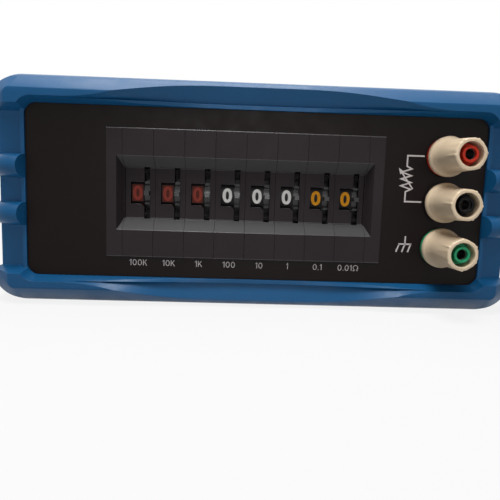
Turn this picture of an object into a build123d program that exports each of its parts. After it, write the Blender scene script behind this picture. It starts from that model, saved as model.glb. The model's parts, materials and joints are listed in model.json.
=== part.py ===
from build123d import *
import math
import os

# Resistance decade box: a flat instrument case between two moulded bumpers, with a bank of eight
# thumbwheel switches and three screw terminals on the front panel. Millimetres.
# The pieces are modelled from the middle of the front panel's face: +X to the right, +Y into the
# box, +Z up. The finished pieces are moved so that the origin is the middle of the box's underside.

# Front panel and its printed film
OPENING_W = 190.3
OPENING_H = 70.1
OPENING_R = 4.5
PANEL_GAP = 0.1
PANEL_T = 2.2
FILM_T = 0.3

# Bumper: lip round the panel, front face, chamfer and skirt
RIM_W = 1.6
RIM_PROUD = 1.0
LIP_W = 1.95
FACE_PROUD = 6.0
SIDE_FACE_W = 4.1
END_FACE_W = 2.9
SIDE_CHAMFER_W = 8.8
END_CHAMFER_W = 5.4
SIDE_SHOULDER_W = 1.9
END_SHOULDER_W = 1.5
SHOULDER_Y = 5.0
SKIRT_Y = 24.0
FACE_CORNER_R = 2.5
CHAMFER_CORNER_R = 13.0
OUTER_CORNER_R = 14.4
FACE_EDGE_R = 0.8
LEDGE_W = 3.5
LEDGE_T = 2.0

# Recess between the corner blocks, and the rolls in it
CORNER_LAP = 3.55
RECESS_Y = 1.0
RECESS_FLARE = 0.36
RECESS_WALL = 2.4
ROLL_R = 4.75
ROLL_PITCH = 19.4
ROLL_BEND_R = 7.0
ROLL_SINK = 3.0

# Scoop in the top and bottom members
SCOOP_FLAT = 12.0
SCOOP_END_INSET = 11.15
SCOOP_STEP = 12.0
SCOOP_FLOOR_Y = 0.4
SCOOP_MID_ANGLE = 16.5
SCOOP_END_ANGLE = 70.0
SCOOP_REACH = 18.0
SCOOP_OVER = 0.2
SCOOP_TOE = 0.05

# Case between the bumpers
PANEL_SPACING = 148.0
CASE_STEP_W = 8.35
CASE_STEP_H = 8.15
CASE_R = 9.0
CASE_WALL = 2.0
CASE_FIT = 0.1
TONGUE_H = 1.5
TONGUE_T = 0.9
RAIL_T = 1.2
RAIL_H = 1.6
RAIL_GAP = 2.0
RAIL_Z = 16.0
PORT_R = 3.2
PORT_BORE_R = 1.75
PORT_INSET = 4.6

# Case screws, their inserts, and the small screws of both panels
CASE_SCREW_R = 1.5
CASE_SCREW_SHORT = 1.0
SCREW_FIT = 0.05
SCREW_HEAD_R = 2.75
SCREW_HEAD_H = 2.4
HEAD_ROOM = 0.35
HEX_KEY = 2.5
HEX_DEPTH = 1.3
INSERT_R = 2.3
INSERT_L = 5.0
PANEL_SCREW_R = 1.25
PANEL_SCREW_GRIP = 1.6
PANEL_SCREW_HEAD_R = 2.2
PANEL_SCREW_HEAD_H = 1.5
PANEL_SCREW_INSET = 25.15
PANEL_SCREW_ROWS = 3

# Thumbwheel bank
BANK_X = -5.18
DECADES = 8
PITCH = 12.7
SEAM = 0.12
CHEEK_W = 6.5
FLANGE_LAP = 2.35
FLANGE_T = 0.9
CUTOUT_GAP = 0.2
SHELL_H = 48.2
SHELL_WALL = 1.2
RECESS_TOP_Z = 15.2
RECESS_FOOT_Z = 10.9
BEVEL_FOOT_Y = 4.3
BEVEL_WALL = 1.3
COVER_T = 0.7
COVE_R = 1.0
LIP_GROOVE = 0.3
CHEEK_BEVEL_TOP = 2.4
CHEEK_BEVEL_FOOT = 0.3
CHEEK_BODY_W = 4.5
CHEEK_BODY_Y = 14.0
CHEEK_PLATE_T = 2.0
BARB_REACH = 1.6
BARB_L = 5.0
BARB_HALF_H = 8.0

# Window, wheel slot and wheel; X from the middle of the module
WINDOW_LEFT = -4.0
WINDOW_HALF_H = 4.6
WINDOW_CORNER = 1.3
SLOT_X = 2.85
SLOT_W = 2.35
DIGIT_DEPTH = 6.85
POSITIONS = 10
DRUM_APOTHEM = 12.6
DRUM_CORNER_R = 12.9
DRUM_LEFT = -3.9
DRUM_WALL = 1.6
WEB_T = 1.2
RING_R = 12.3
RING_W = 2.6
TAB_R = 16.4
TAB_W = 1.96
TAB_T = 1.7
TAB_RIDGE_W = 0.5
TAB_RIDGE_H = 0.35
RIB_R = 14.2
RIB_T = 0.9
HUB_R = 3.6
HUB_PLAY = 0.2
AXLE_R = 2.0
AXLE_FIT = 0.05

# Contact boards, tie rods, springs, resistors and links
BOARD_X = 4.7
BOARD_T = 1.0
BOARD_FRONT_Y = 8.5
BOARD_TAIL_L = 17.0
BOARD_STEP = 5.1
BOARD_GROOVE = 0.4
TIE_BACK = 4.5
TIE_INSET = 3.7
TIE_R = 1.25
TIE_FIT = 0.05
TIE_NUT_FLATS = 4.5
TIE_NUT_T = 2.0
TIE_END = 1.0
SPRING_T = 0.4
SPRING_W = 3.0
SPRING_GAP = 0.35
SPRING_POST = 1.2
RESISTOR_R = 1.25
RESISTOR_EDGE = 0.4
RESISTOR_GAP = 2.8
RESISTOR_MARGIN = 1.0
RESISTOR_LIFT = 0.5
RESISTORS_PER_BOARD = 3
LEAD_R = 0.3
LEAD_OUT = 1.3
LINK_R = 0.5
LINK_INSET = 1.8

# Screw terminals
TERMINAL_INSET = 17.15
TERMINAL_PITCH = 19.05
SOCKET_R = 2.0
SOCKET_L = 15.4
POST_R = 3.5
POST_TIP = 21.0
POST_TAIL = 16.0
NECK_R = 2.6
COLLAR_R = 5.0
COLLAR_T = 1.0
WIRE_HOLE_R = 1.1
WIRE_HOLE_GAP = 0.2
BASE_R = 8.75
BASE_T = 1.6
SPIGOT_R = 4.0
SPIGOT_GAP = 0.1
SLEEVE_R = 3.15
SLEEVE_LIP = 1.8
SLEEVE_BORE_R = 2.15
SHOULDER_R = 4.4
SHOULDER_T = 1.5
SHOULDER_BACK = 17.0
WASHER_R = 7.0
WASHER_T = 1.0
WASHER_ROOM = 0.3
CAP_FLANGE_R = 8.3
CAP_FLANGE_T = 1.6
CAP_WAIST_R = 7.39
CAP_WAIST_L = 1.44
CAP_NECK_R = 6.9
CAP_NECK_L = 3.2
CAP_TIP_R = 6.25
CAP_TIP = 23.6
CAP_EDGE_R = 0.7
CAP_THREAD_FIT = 0.05
CAP_MOUTH_R = 4.7
CAP_LIFT = 3.0
FLUTES = 6
FLUTE_R = 5.0
FLUTE_DEPTH = 0.65
FLUTE_START = 8.5
BACKER_R = 8.0
BACKER_T = 3.0
NUT_FLATS = 10.0
NUT_T = 3.0
TAG_T = 0.8
TAG_W = 6.0
TAG_L = 11.0
TAG_HOLE_INSET = 2.0

# Leads from the solder tags to the bank and to the case
WIRE_R = 0.95
WIRE_FIT = 0.05
WIRE_BEND_R = 4.0
WIRE_INSET = 3.5
WIRE_ROOM = 9.0
EARTH_Y = 30.0

# Worked out from the sizes above
HALF_OPEN_W = OPENING_W / 2
HALF_OPEN_H = OPENING_H / 2
CASE_W = OPENING_W + 2 * CASE_STEP_W
CASE_H = OPENING_H + 2 * CASE_STEP_H
FACE_INNER_W = HALF_OPEN_W + LIP_W
FACE_INNER_H = HALF_OPEN_H + LIP_W
FACE_HALF_W = FACE_INNER_W + SIDE_FACE_W
FACE_HALF_H = FACE_INNER_H + END_FACE_W
CHAMFER_HALF_W = FACE_HALF_W + SIDE_CHAMFER_W
CHAMFER_HALF_H = FACE_HALF_H + END_CHAMFER_W
HALF_W = CHAMFER_HALF_W + SIDE_SHOULDER_W
HALF_H = CHAMFER_HALF_H + END_SHOULDER_W
PANEL_BACK = FILM_T + PANEL_T
LEDGE_BACK = PANEL_BACK + LEDGE_T
RECESS_SIDE = CASE_W / 2 + CASE_FIT + RECESS_WALL
RECESS_HALF_H = HALF_OPEN_H - CORNER_LAP
SCOOP_END = HALF_OPEN_W - SCOOP_END_INSET
BACK_Y = PANEL_SPACING + FACE_PROUD
PORT_X = CASE_W / 2 - PORT_INSET
PORT_Z = CASE_H / 2 - PORT_INSET
PANEL_SCREW_X = HALF_OPEN_W - PANEL_SCREW_INSET
WHEEL_Y = DIGIT_DEPTH + DRUM_APOTHEM
BANK_HALF_W = DECADES * PITCH / 2
FLANGE_H = SHELL_H + 2 * FLANGE_LAP
SHELL_HALF_H = SHELL_H / 2
SPRING_BACK = WHEEL_Y + TAB_R + SPRING_GAP + SPRING_T
SHELL_DEPTH = SPRING_BACK + SPRING_POST + SHELL_WALL
TIE_Y = SHELL_DEPTH - TIE_BACK
TIE_Z = SHELL_HALF_H - TIE_INSET
BOARD_TAIL_HALF_H = SHELL_HALF_H - BOARD_STEP
BOARD_TAIL_Y = SHELL_DEPTH + BOARD_TAIL_L
LINK_Y = BOARD_TAIL_Y - LEAD_OUT
LINK_Z = BOARD_TAIL_HALF_H - LINK_INSET
RESISTOR_PITCH = 2 * (BOARD_TAIL_HALF_H - RESISTOR_MARGIN) / RESISTORS_PER_BOARD
RESISTOR_L = RESISTOR_PITCH - 2 * LEAD_OUT - RESISTOR_GAP
MODULE_LEFT = SEAM / 2 - PITCH / 2
MODULE_RIGHT = PITCH / 2 - SEAM / 2
COVER_Y = BEVEL_FOOT_Y + LIP_GROOVE + COVE_R
COVER_BACK = COVER_Y + COVER_T
STEP_ANGLE = 360 / POSITIONS
TERMINAL_X = HALF_OPEN_W - TERMINAL_INSET
WASHER_FRONT = BASE_T + WASHER_T
CAP_STEP = SHOULDER_BACK - CAP_LIFT
WIRE_HOLE_Y = -(WASHER_FRONT + WIRE_HOLE_GAP + WIRE_HOLE_R)
NUT_BACK = PANEL_BACK + BACKER_T + NUT_T
TAG_HOLE_R = WIRE_R + WIRE_FIT
TAG_HOLE_X = TAG_HOLE_INSET - TAG_L
PLACE = Pos(0, (CAP_TIP - BACK_Y) / 2, HALF_H)


def block(x0, x1, y0, y1, z0, z1):
    """A box between two corners."""
    return Pos((x0 + x1) / 2, (y0 + y1) / 2, (z0 + z1) / 2) * Box(x1 - x0, y1 - y0, z1 - z0)


def rod_x(r, x0, x1, y=0.0, z=0.0):
    """A round bar along X."""
    return Pos((x0 + x1) / 2, y, z) * Rot(0, 90, 0) * Cylinder(r, x1 - x0)


def rod_y(r, y0, y1, x=0.0, z=0.0):
    """A round bar along Y."""
    return Pos(x, (y0 + y1) / 2, z) * Rot(90, 0, 0) * Cylinder(r, y1 - y0)


def facing_front(y):
    """A plane at depth y that faces the front, its own Y upwards."""
    return Plane(origin=(0, y, 0), x_dir=(1, 0, 0), z_dir=(0, -1, 0))


def rounded_face(half_w, half_h, r, y):
    """A rounded rectangle that faces the front, at depth y."""
    return facing_front(y) * RectangleRounded(2 * half_w, 2 * half_h, r)


def slab(half_w, half_h, r, y0, y1):
    """A plate with rounded corners, from depth y0 to depth y1."""
    return extrude(rounded_face(half_w, half_h, r, y1), y1 - y0)


def side_profile(points, x0, x1):
    """A prism along X whose outline is given as (y, z) points."""
    outline = make_face(Plane.YZ.offset(x0) * Polyline(*points, close=True))
    return extrude(outline, x1 - x0, dir=(1, 0, 0))


def plan_profile(points, z0, z1):
    """A prism along Z whose outline is given as (x, y) points."""
    return extrude(Pos(0, 0, z0) * make_face(Polyline(*points, close=True)), z1 - z0, dir=(0, 0, 1))


def front_profile(points, y0, y1):
    """A prism along Y whose outline is given as (x, z) points."""
    outline = make_face(facing_front(y1) * Polyline(*points, close=True))
    return extrude(outline, y1 - y0, dir=(0, -1, 0))


def turned(points):
    """A body turned about the Y axis from (radius, y) points."""
    return revolve(make_face(Polyline(*points, close=True)), Axis.Y)


def hex_bar(flats, y0, y1):
    """A hexagonal bar along Y."""
    return extrude(facing_front(y1) * RegularPolygon(flats / 2, 6, major_radius=False), y1 - y0)


def group(solids):
    """Separate solids that make one node."""
    return Compound(list(solids))


def smooth_share(x):
    """How far the scoop has turned into the plain lip at x: 0 in the middle, 1 at its ends."""
    t = min(max((abs(x) - SCOOP_FLAT) / (SCOOP_END - SCOOP_FLAT), 0.0), 1.0)
    return t * t * (3 - 2 * t)


# Bumpers

def bumper_envelope():
    """Front face, chamfer, shoulder and skirt as one block."""
    nose = loft(
        [
            rounded_face(FACE_HALF_W, FACE_HALF_H, FACE_CORNER_R, -FACE_PROUD),
            rounded_face(CHAMFER_HALF_W, CHAMFER_HALF_H, CHAMFER_CORNER_R, 0),
            rounded_face(HALF_W, HALF_H, OUTER_CORNER_R, SHOULDER_Y),
        ],
        ruled=True,
    )
    front_edges = nose.edges().filter_by_position(Axis.Y, -FACE_PROUD, -FACE_PROUD)
    nose = fillet(front_edges, FACE_EDGE_R)
    return nose + slab(HALF_W, HALF_H, OUTER_CORNER_R, SHOULDER_Y, SKIRT_Y)


def side_recess():
    """What is cut away between the corner blocks of the right side, down to rim and recess floor."""
    far_y = -2 * FACE_PROUD
    far_x = HALF_W + FACE_PROUD

    def flare(distance):
        return RECESS_HALF_H + RECESS_FLARE * distance

    front = side_profile(
        [
            (RECESS_Y, -flare(0)),
            (RECESS_Y, flare(0)),
            (far_y, flare(RECESS_Y - far_y)),
            (far_y, -flare(RECESS_Y - far_y)),
        ],
        HALF_OPEN_W + RIM_W,
        far_x,
    )
    over_rim = side_profile(
        [
            (-RIM_PROUD, -flare(RECESS_Y + RIM_PROUD)),
            (-RIM_PROUD, flare(RECESS_Y + RIM_PROUD)),
            (far_y, flare(RECESS_Y - far_y)),
            (far_y, -flare(RECESS_Y - far_y)),
        ],
        HALF_OPEN_W - RIM_W,
        far_x,
    )
    side = front_profile(
        [
            (RECESS_SIDE, -flare(0)),
            (RECESS_SIDE, flare(0)),
            (far_x, flare(far_x - RECESS_SIDE)),
            (far_x, -flare(far_x - RECESS_SIDE)),
        ],
        far_y,
        SKIRT_Y,
    )
    return front + over_rim + side


def roll(z):
    """A roll that runs over the front and down the right side of the recess, sunk into both."""
    front_y = ROLL_R - FACE_PROUD
    side_x = HALF_W - ROLL_R
    path = FilletPolyline(
        (HALF_OPEN_W, front_y, z),
        (FACE_HALF_W, front_y, z),
        (side_x, front_y + side_x - FACE_HALF_W, z),
        (side_x, SKIRT_Y, z),
        radius=ROLL_BEND_R,
    )
    crown = ThreePointArc((0, -ROLL_R), (-ROLL_R, 0), (0, ROLL_R))
    foot = Polyline((0, ROLL_R), (ROLL_SINK, ROLL_R), (ROLL_SINK, -ROLL_R), (0, -ROLL_R))
    start = Plane(origin=(HALF_OPEN_W, front_y, z), x_dir=(0, 1, 0), z_dir=(1, 0, 0))
    return sweep(start * make_face([*crown.edges(), *foot.edges()]), path=path)


def lip_cut():
    """The sloping lip round the panel, drawn on past the front face."""
    far_y = -RIM_PROUD - 2 * (FACE_PROUD - RIM_PROUD)
    spread = 2 * LIP_W
    return loft(
        [
            rounded_face(HALF_OPEN_W, HALF_OPEN_H, OPENING_R, -RIM_PROUD),
            rounded_face(HALF_OPEN_W + spread, HALF_OPEN_H + spread, OPENING_R + spread, far_y),
        ],
        ruled=True,
    )


def scoop_section(x):
    """Outline of the scoop's cut at x: over the rim, down to the floor and out through the chamfer."""
    share = smooth_share(x)
    rise = (FACE_PROUD - RIM_PROUD) / LIP_W * RIM_W
    foot_z = HALF_OPEN_H + RIM_W
    over_rim_y = -RIM_PROUD - share * (rise + SCOOP_OVER)
    foot_y = SCOOP_FLOOR_Y + share * (over_rim_y + SCOOP_TOE - SCOOP_FLOOR_Y)
    angle = math.radians(SCOOP_MID_ANGLE + (SCOOP_END_ANGLE - SCOOP_MID_ANGLE) * share**2)
    out = (foot_y - SCOOP_REACH * math.sin(angle), foot_z + SCOOP_REACH * math.cos(angle))
    far_y = -SCOOP_REACH - FACE_PROUD
    points = [
        (-RIM_PROUD - SCOOP_OVER * share, HALF_OPEN_H - RIM_W),
        (over_rim_y, foot_z),
        (foot_y, foot_z),
        out,
        (far_y, foot_z),
        (far_y, HALF_OPEN_H - RIM_W),
    ]
    return make_face(Plane.YZ.offset(x) * Polyline(*points, close=True))


def scoop_cut():
    """The long scoop in the top member."""
    half_count = round(SCOOP_END / SCOOP_STEP)
    stations = [SCOOP_END * i / half_count for i in range(-half_count, half_count + 1)]
    return loft([scoop_section(x) for x in stations])


def bumper():
    """The frame that both ends of the case share: the front one, before its screw holes."""
    body = bumper_envelope()
    recess = side_recess()
    body -= recess
    body -= mirror(recess, Plane.YZ)
    for side in (-1, 1):
        for z in (-ROLL_PITCH / 2, ROLL_PITCH / 2):
            bar = roll(z)
            body += bar if side > 0 else mirror(bar, Plane.YZ)
    body -= lip_cut()
    scoop = scoop_cut()
    body -= scoop
    body -= mirror(scoop, Plane.XY)
    body -= slab(HALF_OPEN_W, HALF_OPEN_H, OPENING_R, -RIM_PROUD, PANEL_BACK)
    body -= slab(HALF_OPEN_W - LEDGE_W, HALF_OPEN_H - LEDGE_W, OPENING_R, PANEL_BACK, LEDGE_BACK)
    body -= slab(CASE_W / 2 + CASE_FIT, CASE_H / 2 + CASE_FIT, CASE_R, LEDGE_BACK, SKIRT_Y)
    for x, z in panel_screw_places():
        body -= rod_y(PANEL_SCREW_R + SCREW_FIT, PANEL_BACK, LEDGE_BACK, x, z)
    return body


def corner_places():
    """The four case screws, as (x, z)."""
    return [(sx * PORT_X, sz * PORT_Z) for sx in (-1, 1) for sz in (-1, 1)]


def panel_screw_places():
    """The small screws along the top and bottom ledge, as (x, z)."""
    z = HALF_OPEN_H - LEDGE_W / 2
    step = 2 * PANEL_SCREW_X / (PANEL_SCREW_ROWS - 1)
    return [(i * step - PANEL_SCREW_X, s * z) for i in range(PANEL_SCREW_ROWS) for s in (-1, 1)]


def to_rear(shape):
    """Turns a front piece round to the rear end of the case."""
    return Pos(0, PANEL_SPACING, 0) * Rot(0, 0, 180) * shape


def front_bumper(frame):
    """The frame with a blind hole for an insert in each corner block."""
    for x, z in corner_places():
        frame -= rod_y(INSERT_R, LEDGE_BACK - INSERT_L, LEDGE_BACK, x, z)
    return frame


def rear_bumper(frame):
    """The frame with a screw hole and a sunk seat for the head in each corner block."""
    for x, z in corner_places():
        frame -= rod_y(CASE_SCREW_R + 2 * SCREW_FIT, -FACE_PROUD, LEDGE_BACK, x, z)
        frame -= rod_y(SCREW_HEAD_R + HEAD_ROOM, -2 * FACE_PROUD, 0, x, z)
    return to_rear(frame)


# Case, panels and their screws

def case_section():
    """The closed section of both shells, with screw ports and card rails, facing the front."""
    section = RectangleRounded(CASE_W, CASE_H, CASE_R)
    inner = RectangleRounded(CASE_W - 2 * CASE_WALL, CASE_H - 2 * CASE_WALL, CASE_R - CASE_WALL)
    section -= inner
    for side in (-1, 1):
        for z in (-RAIL_Z - RAIL_GAP, -RAIL_Z, RAIL_Z, RAIL_Z + RAIL_GAP):
            rail_x = side * (CASE_W / 2 - CASE_WALL - RAIL_H / 2)
            section += Pos(rail_x, z) * Rectangle(RAIL_H + CASE_WALL / 2, RAIL_T)
    for x, z in corner_places():
        section += Pos(x, z) * Circle(PORT_R) & RectangleRounded(CASE_W, CASE_H, CASE_R)
    for x, z in corner_places():
        section -= Pos(x, z) * Circle(PORT_BORE_R)
    return section


def case_length(section):
    """A section drawn along the case, from one bumper's ledge to the other's."""
    back = PANEL_SPACING - LEDGE_BACK
    return extrude(facing_front(back) * section, back - LEDGE_BACK)


def case_shells():
    """Upper and lower shell; a tongue on the lower one stands in a step of the upper one."""
    section = case_section()
    top = Pos(0, CASE_H / 2) * Rectangle(2 * CASE_W, CASE_H)
    inner_x = CASE_W / 2 - CASE_WALL
    step_w = TONGUE_T + CASE_FIT
    step_h = TONGUE_H + CASE_FIT
    tongue = Sketch()
    step = Sketch()
    for side in (-1, 1):
        tongue += Pos(side * (inner_x + TONGUE_T / 2), 0) * Rectangle(TONGUE_T, 2 * TONGUE_H)
        step += Pos(side * (inner_x + step_w / 2), 0) * Rectangle(step_w, 2 * step_h)
    upper = (section & top) - step
    lower = (section - top) + (tongue & top)
    return case_length(upper), case_length(lower)


def panel_sheet(y0, y1):
    """A sheet that fills the bumper's opening, from depth y0 to depth y1."""
    return slab(HALF_OPEN_W - PANEL_GAP, HALF_OPEN_H - PANEL_GAP, OPENING_R - PANEL_GAP, y0, y1)


def panel_plate():
    """A blank panel with blind holes for its screws, front face under the film."""
    plate = panel_sheet(FILM_T, PANEL_BACK)
    for x, z in panel_screw_places():
        plate -= rod_y(PANEL_SCREW_R + SCREW_FIT, PANEL_BACK - PANEL_SCREW_GRIP, PANEL_BACK, x, z)
    return plate


def panel_openings(y0, y1):
    """The bank's cut-out and the holes of the three terminals."""
    half_w = BANK_HALF_W + CHEEK_BODY_W + CUTOUT_GAP
    half_h = SHELL_HALF_H + CUTOUT_GAP
    cuts = block(BANK_X - half_w, BANK_X + half_w, y0, y1, -half_h, half_h)
    for z in terminal_heights():
        cuts += rod_y(SPIGOT_R + SPIGOT_GAP, y0, y1, TERMINAL_X, z)
    return cuts


def front_panel():
    """The front plate."""
    return panel_plate() - panel_openings(FILM_T, PANEL_BACK)


def panel_film():
    """The printed film on the front plate."""
    return panel_sheet(0, FILM_T) - panel_openings(0, FILM_T)


def panel_screw(x, z):
    """A small pan-head screw from behind the ledge into the plate."""
    shank = rod_y(PANEL_SCREW_R, PANEL_BACK - PANEL_SCREW_GRIP, LEDGE_BACK, x, z)
    return shank + rod_y(PANEL_SCREW_HEAD_R, LEDGE_BACK, LEDGE_BACK + PANEL_SCREW_HEAD_H, x, z)


def panel_screws():
    """The screws of both panels."""
    front = [panel_screw(x, z) for x, z in panel_screw_places()]
    return group(front + [to_rear(screw) for screw in front])


def case_insert(x, z):
    """A threaded insert in a corner block of the front bumper."""
    body = rod_y(INSERT_R, LEDGE_BACK - INSERT_L, LEDGE_BACK, x, z)
    return body - rod_y(CASE_SCREW_R + SCREW_FIT, LEDGE_BACK - INSERT_L, LEDGE_BACK, x, z)


def case_screw(x, z):
    """A long socket-head screw from the rear bumper to an insert in the front one."""
    seat = PANEL_SPACING
    tip = LEDGE_BACK - INSERT_L + CASE_SCREW_SHORT
    head = rod_y(SCREW_HEAD_R, seat, seat + SCREW_HEAD_H, x, z)
    key = hex_bar(HEX_KEY, seat + SCREW_HEAD_H - HEX_DEPTH, seat + SCREW_HEAD_H)
    return rod_y(CASE_SCREW_R, tip, seat, x, z) + (head - Pos(x, 0, z) * key)


# Thumbwheel bank; each module is modelled about its own middle and moved to its place

def module_x(decade):
    """Middle of a module, decade 1 on the left."""
    return BANK_X + (decade - (DECADES + 1) / 2) * PITCH


def front_outline():
    """Upper half of a module's front, as (y, z), from the flange's top to the middle of the cover."""
    cove_z = RECESS_FOOT_Z - COVE_R
    cove = [
        (COVER_Y - COVE_R * (1 - math.sin(math.radians(a))), cove_z + COVE_R * math.cos(math.radians(a)))
        for a in (0, 30, 60, 90)
    ]
    return [
        (0, FLANGE_H / 2),
        (-FLANGE_T, FLANGE_H / 2),
        (-FLANGE_T, RECESS_TOP_Z),
        (BEVEL_FOOT_Y, RECESS_FOOT_Z),
        (BEVEL_FOOT_Y, RECESS_FOOT_Z + LIP_GROOVE),
        (BEVEL_FOOT_Y + LIP_GROOVE, RECESS_FOOT_Z + LIP_GROOVE),
        *cove,
    ]


def back_outline():
    """Upper half of the inside of a module's front wall, from the middle of the cover outwards."""
    return [
        (COVER_BACK, RECESS_FOOT_Z - COVE_R),
        (COVER_BACK - COVE_R / 2, RECESS_FOOT_Z + BEVEL_WALL / 2),
        (BEVEL_FOOT_Y + BEVEL_WALL / 2, RECESS_FOOT_Z + BEVEL_WALL),
        (BEVEL_WALL - FLANGE_T, RECESS_TOP_Z + BEVEL_WALL / 2),
        (BEVEL_WALL - FLANGE_T, SHELL_HALF_H - SHELL_WALL),
    ]


def mirrored(points):
    """The same (y, z) points below the middle, in reverse order."""
    return [(y, -z) for y, z in reversed(points)]


def module_front(x0, x1):
    """The front wall of the bank between x0 and x1: flange, bevels and cover."""
    front = front_outline()
    back = back_outline()
    top = [(BEVEL_WALL - FLANGE_T, SHELL_HALF_H), (0, SHELL_HALF_H)]
    return side_profile([*front, *mirrored(front), *mirrored(top), *mirrored(back), *back, *top], x0, x1)


def switch_housing():
    """A module's moulded shell, open to the right, with the wheel's axle on its left wall."""
    back = SHELL_DEPTH
    inside = SHELL_HALF_H - SHELL_WALL
    wall_x = MODULE_LEFT + SHELL_WALL
    front_y = BEVEL_WALL - FLANGE_T
    shell = block(MODULE_LEFT, MODULE_RIGHT, front_y, back, -SHELL_HALF_H, SHELL_HALF_H)
    shell -= block(wall_x, MODULE_RIGHT, front_y, back - SHELL_WALL, -inside, inside)
    outline = [*front_outline(), *mirrored(front_outline()), (0, -SHELL_HALF_H), (back, -SHELL_HALF_H)]
    outline += [(back, SHELL_HALF_H), (0, SHELL_HALF_H)]
    shell = shell & side_profile(outline, MODULE_LEFT, MODULE_RIGHT)
    shell += module_front(MODULE_LEFT, MODULE_RIGHT)
    shell += side_profile(outline, MODULE_LEFT, wall_x)
    slot_left = SLOT_X - SLOT_W / 2
    slot_right = SLOT_X + SLOT_W / 2
    cut_y = BEVEL_FOOT_Y + LIP_GROOVE
    shell -= block(WINDOW_LEFT, slot_left, cut_y, WHEEL_Y, -WINDOW_HALF_H, WINDOW_HALF_H)
    shell -= block(slot_left, slot_right, cut_y, WHEEL_Y, -RECESS_FOOT_Z, RECESS_FOOT_Z)
    corner = [
        (slot_left - WINDOW_CORNER, -WINDOW_HALF_H),
        (slot_left - WINDOW_CORNER, 0),
        (slot_right, 0),
        (slot_right, -WINDOW_HALF_H - WINDOW_CORNER),
        (slot_left, -WINDOW_HALF_H - WINDOW_CORNER),
    ]
    shell -= front_profile(corner, cut_y, WHEEL_Y)
    groove = inside + BOARD_GROOVE
    shell -= block(BOARD_X, BOARD_X + BOARD_T, BOARD_FRONT_Y, back - SHELL_WALL, -groove, groove)
    shell -= block(BOARD_X, MODULE_RIGHT, back - SHELL_WALL, back, -groove, groove)
    shell += rod_x(AXLE_R, MODULE_LEFT, BOARD_X + BOARD_T, WHEEL_Y)
    for side in (-1, 1):
        shell -= rod_x(TIE_R + TIE_FIT, MODULE_LEFT, wall_x, TIE_Y, side * TIE_Z)
        low, high = sorted((side * (TIE_Z - SPRING_POST), side * TIE_Z))
        shell += block(wall_x, wall_x + SPRING_W, SPRING_BACK, back - SHELL_WALL / 2, low, high)
    return shell


def thumbwheel():
    """A wheel with ten flats for the digits and, on their right, ten thumb tabs with ribs between."""
    ring_left = SLOT_X - RING_W / 2
    ring_right = SLOT_X + RING_W / 2
    tab_left = SLOT_X - TAB_W / 2
    tab_right = SLOT_X + TAB_W / 2
    decagon = Rot(0, 0, STEP_ANGLE / 2) * RegularPolygon(DRUM_APOTHEM, POSITIONS, major_radius=False)
    drum = extrude(Plane.YZ.offset(DRUM_LEFT) * decagon, ring_left - DRUM_LEFT, dir=(1, 0, 0))
    drum &= rod_x(DRUM_CORNER_R, DRUM_LEFT, ring_left)
    drum -= rod_x(DRUM_APOTHEM - DRUM_WALL, DRUM_LEFT, ring_left - WEB_T)
    wheel = drum + rod_x(RING_R, ring_left, ring_right)
    tab = block(tab_left, tab_right, RING_R - WEB_T, TAB_R, -TAB_T / 2, TAB_T / 2)
    groove_half = TAB_T / 2 - TAB_RIDGE_W
    tab -= block(tab_left, tab_right, TAB_R - TAB_RIDGE_H, TAB_R, -groove_half, groove_half)
    rib = block(tab_left, tab_right, RING_R - WEB_T, RIB_R, -RIB_T / 2, RIB_T / 2)
    for i in range(POSITIONS):
        wheel += Rot(180 + i * STEP_ANGLE, 0, 0) * tab
        wheel += Rot(180 + (i + 0.5) * STEP_ANGLE, 0, 0) * rib
    wheel += rod_x(HUB_R, MODULE_LEFT + SHELL_WALL + HUB_PLAY, BOARD_X - HUB_PLAY)
    wheel -= rod_x(AXLE_R + AXLE_FIT, MODULE_LEFT, MODULE_RIGHT)
    return Pos(0, WHEEL_Y, 0) * wheel


def switch_board():
    """A decade's contact board, held in grooves of the shell, with a tail for its resistors."""
    half_h = SHELL_HALF_H - SHELL_WALL + BOARD_GROOVE
    board = block(BOARD_X, BOARD_X + BOARD_T, BOARD_FRONT_Y, SHELL_DEPTH - SHELL_WALL, -half_h, half_h)
    board += block(BOARD_X, BOARD_X + BOARD_T, WHEEL_Y, BOARD_TAIL_Y, -BOARD_TAIL_HALF_H, BOARD_TAIL_HALF_H)
    board -= rod_x(AXLE_R + AXLE_FIT, BOARD_X, BOARD_X + BOARD_T, WHEEL_Y)
    for side in (-1, 1):
        board -= rod_x(TIE_R + TIE_FIT, BOARD_X, BOARD_X + BOARD_T, TIE_Y, side * TIE_Z)
        board -= rod_x(LINK_R, BOARD_X, BOARD_X + BOARD_T, LINK_Y, side * LINK_Z)
    return board


def detent_spring():
    """A leaf behind the wheel's tabs, held at both ends by the shell's posts."""
    left = MODULE_LEFT + SHELL_WALL
    return block(left, left + SPRING_W, SPRING_BACK - SPRING_T, SPRING_BACK, -TIE_Z, TIE_Z)


def board_left(decade):
    """The left face of a decade's board."""
    return module_x(decade) + BOARD_X


def resistor(y, z):
    """A resistor that stands off the board on its two bent leads."""
    x = BOARD_X - RESISTOR_LIFT - RESISTOR_R
    half = RESISTOR_L / 2 + LEAD_OUT
    body = Cylinder(RESISTOR_R, RESISTOR_L)
    body = Pos(x, y, z) * chamfer(body.edges().filter_by(GeomType.CIRCLE), RESISTOR_EDGE)
    body += Pos(x, y, z) * Cylinder(LEAD_R, 2 * (half + LEAD_R))
    for side in (-1, 1):
        body += rod_x(LEAD_R, x, BOARD_X, y, z + side * half)
    return body


def decade_resistors(decade):
    """The resistors of one decade."""
    y = SHELL_DEPTH + BOARD_TAIL_L / 2
    first = -(RESISTORS_PER_BOARD - 1) / 2 * RESISTOR_PITCH
    heights = [first + i * RESISTOR_PITCH for i in range(RESISTORS_PER_BOARD)]
    return [Pos(module_x(decade), 0, 0) * resistor(y, z) for z in heights]


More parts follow.
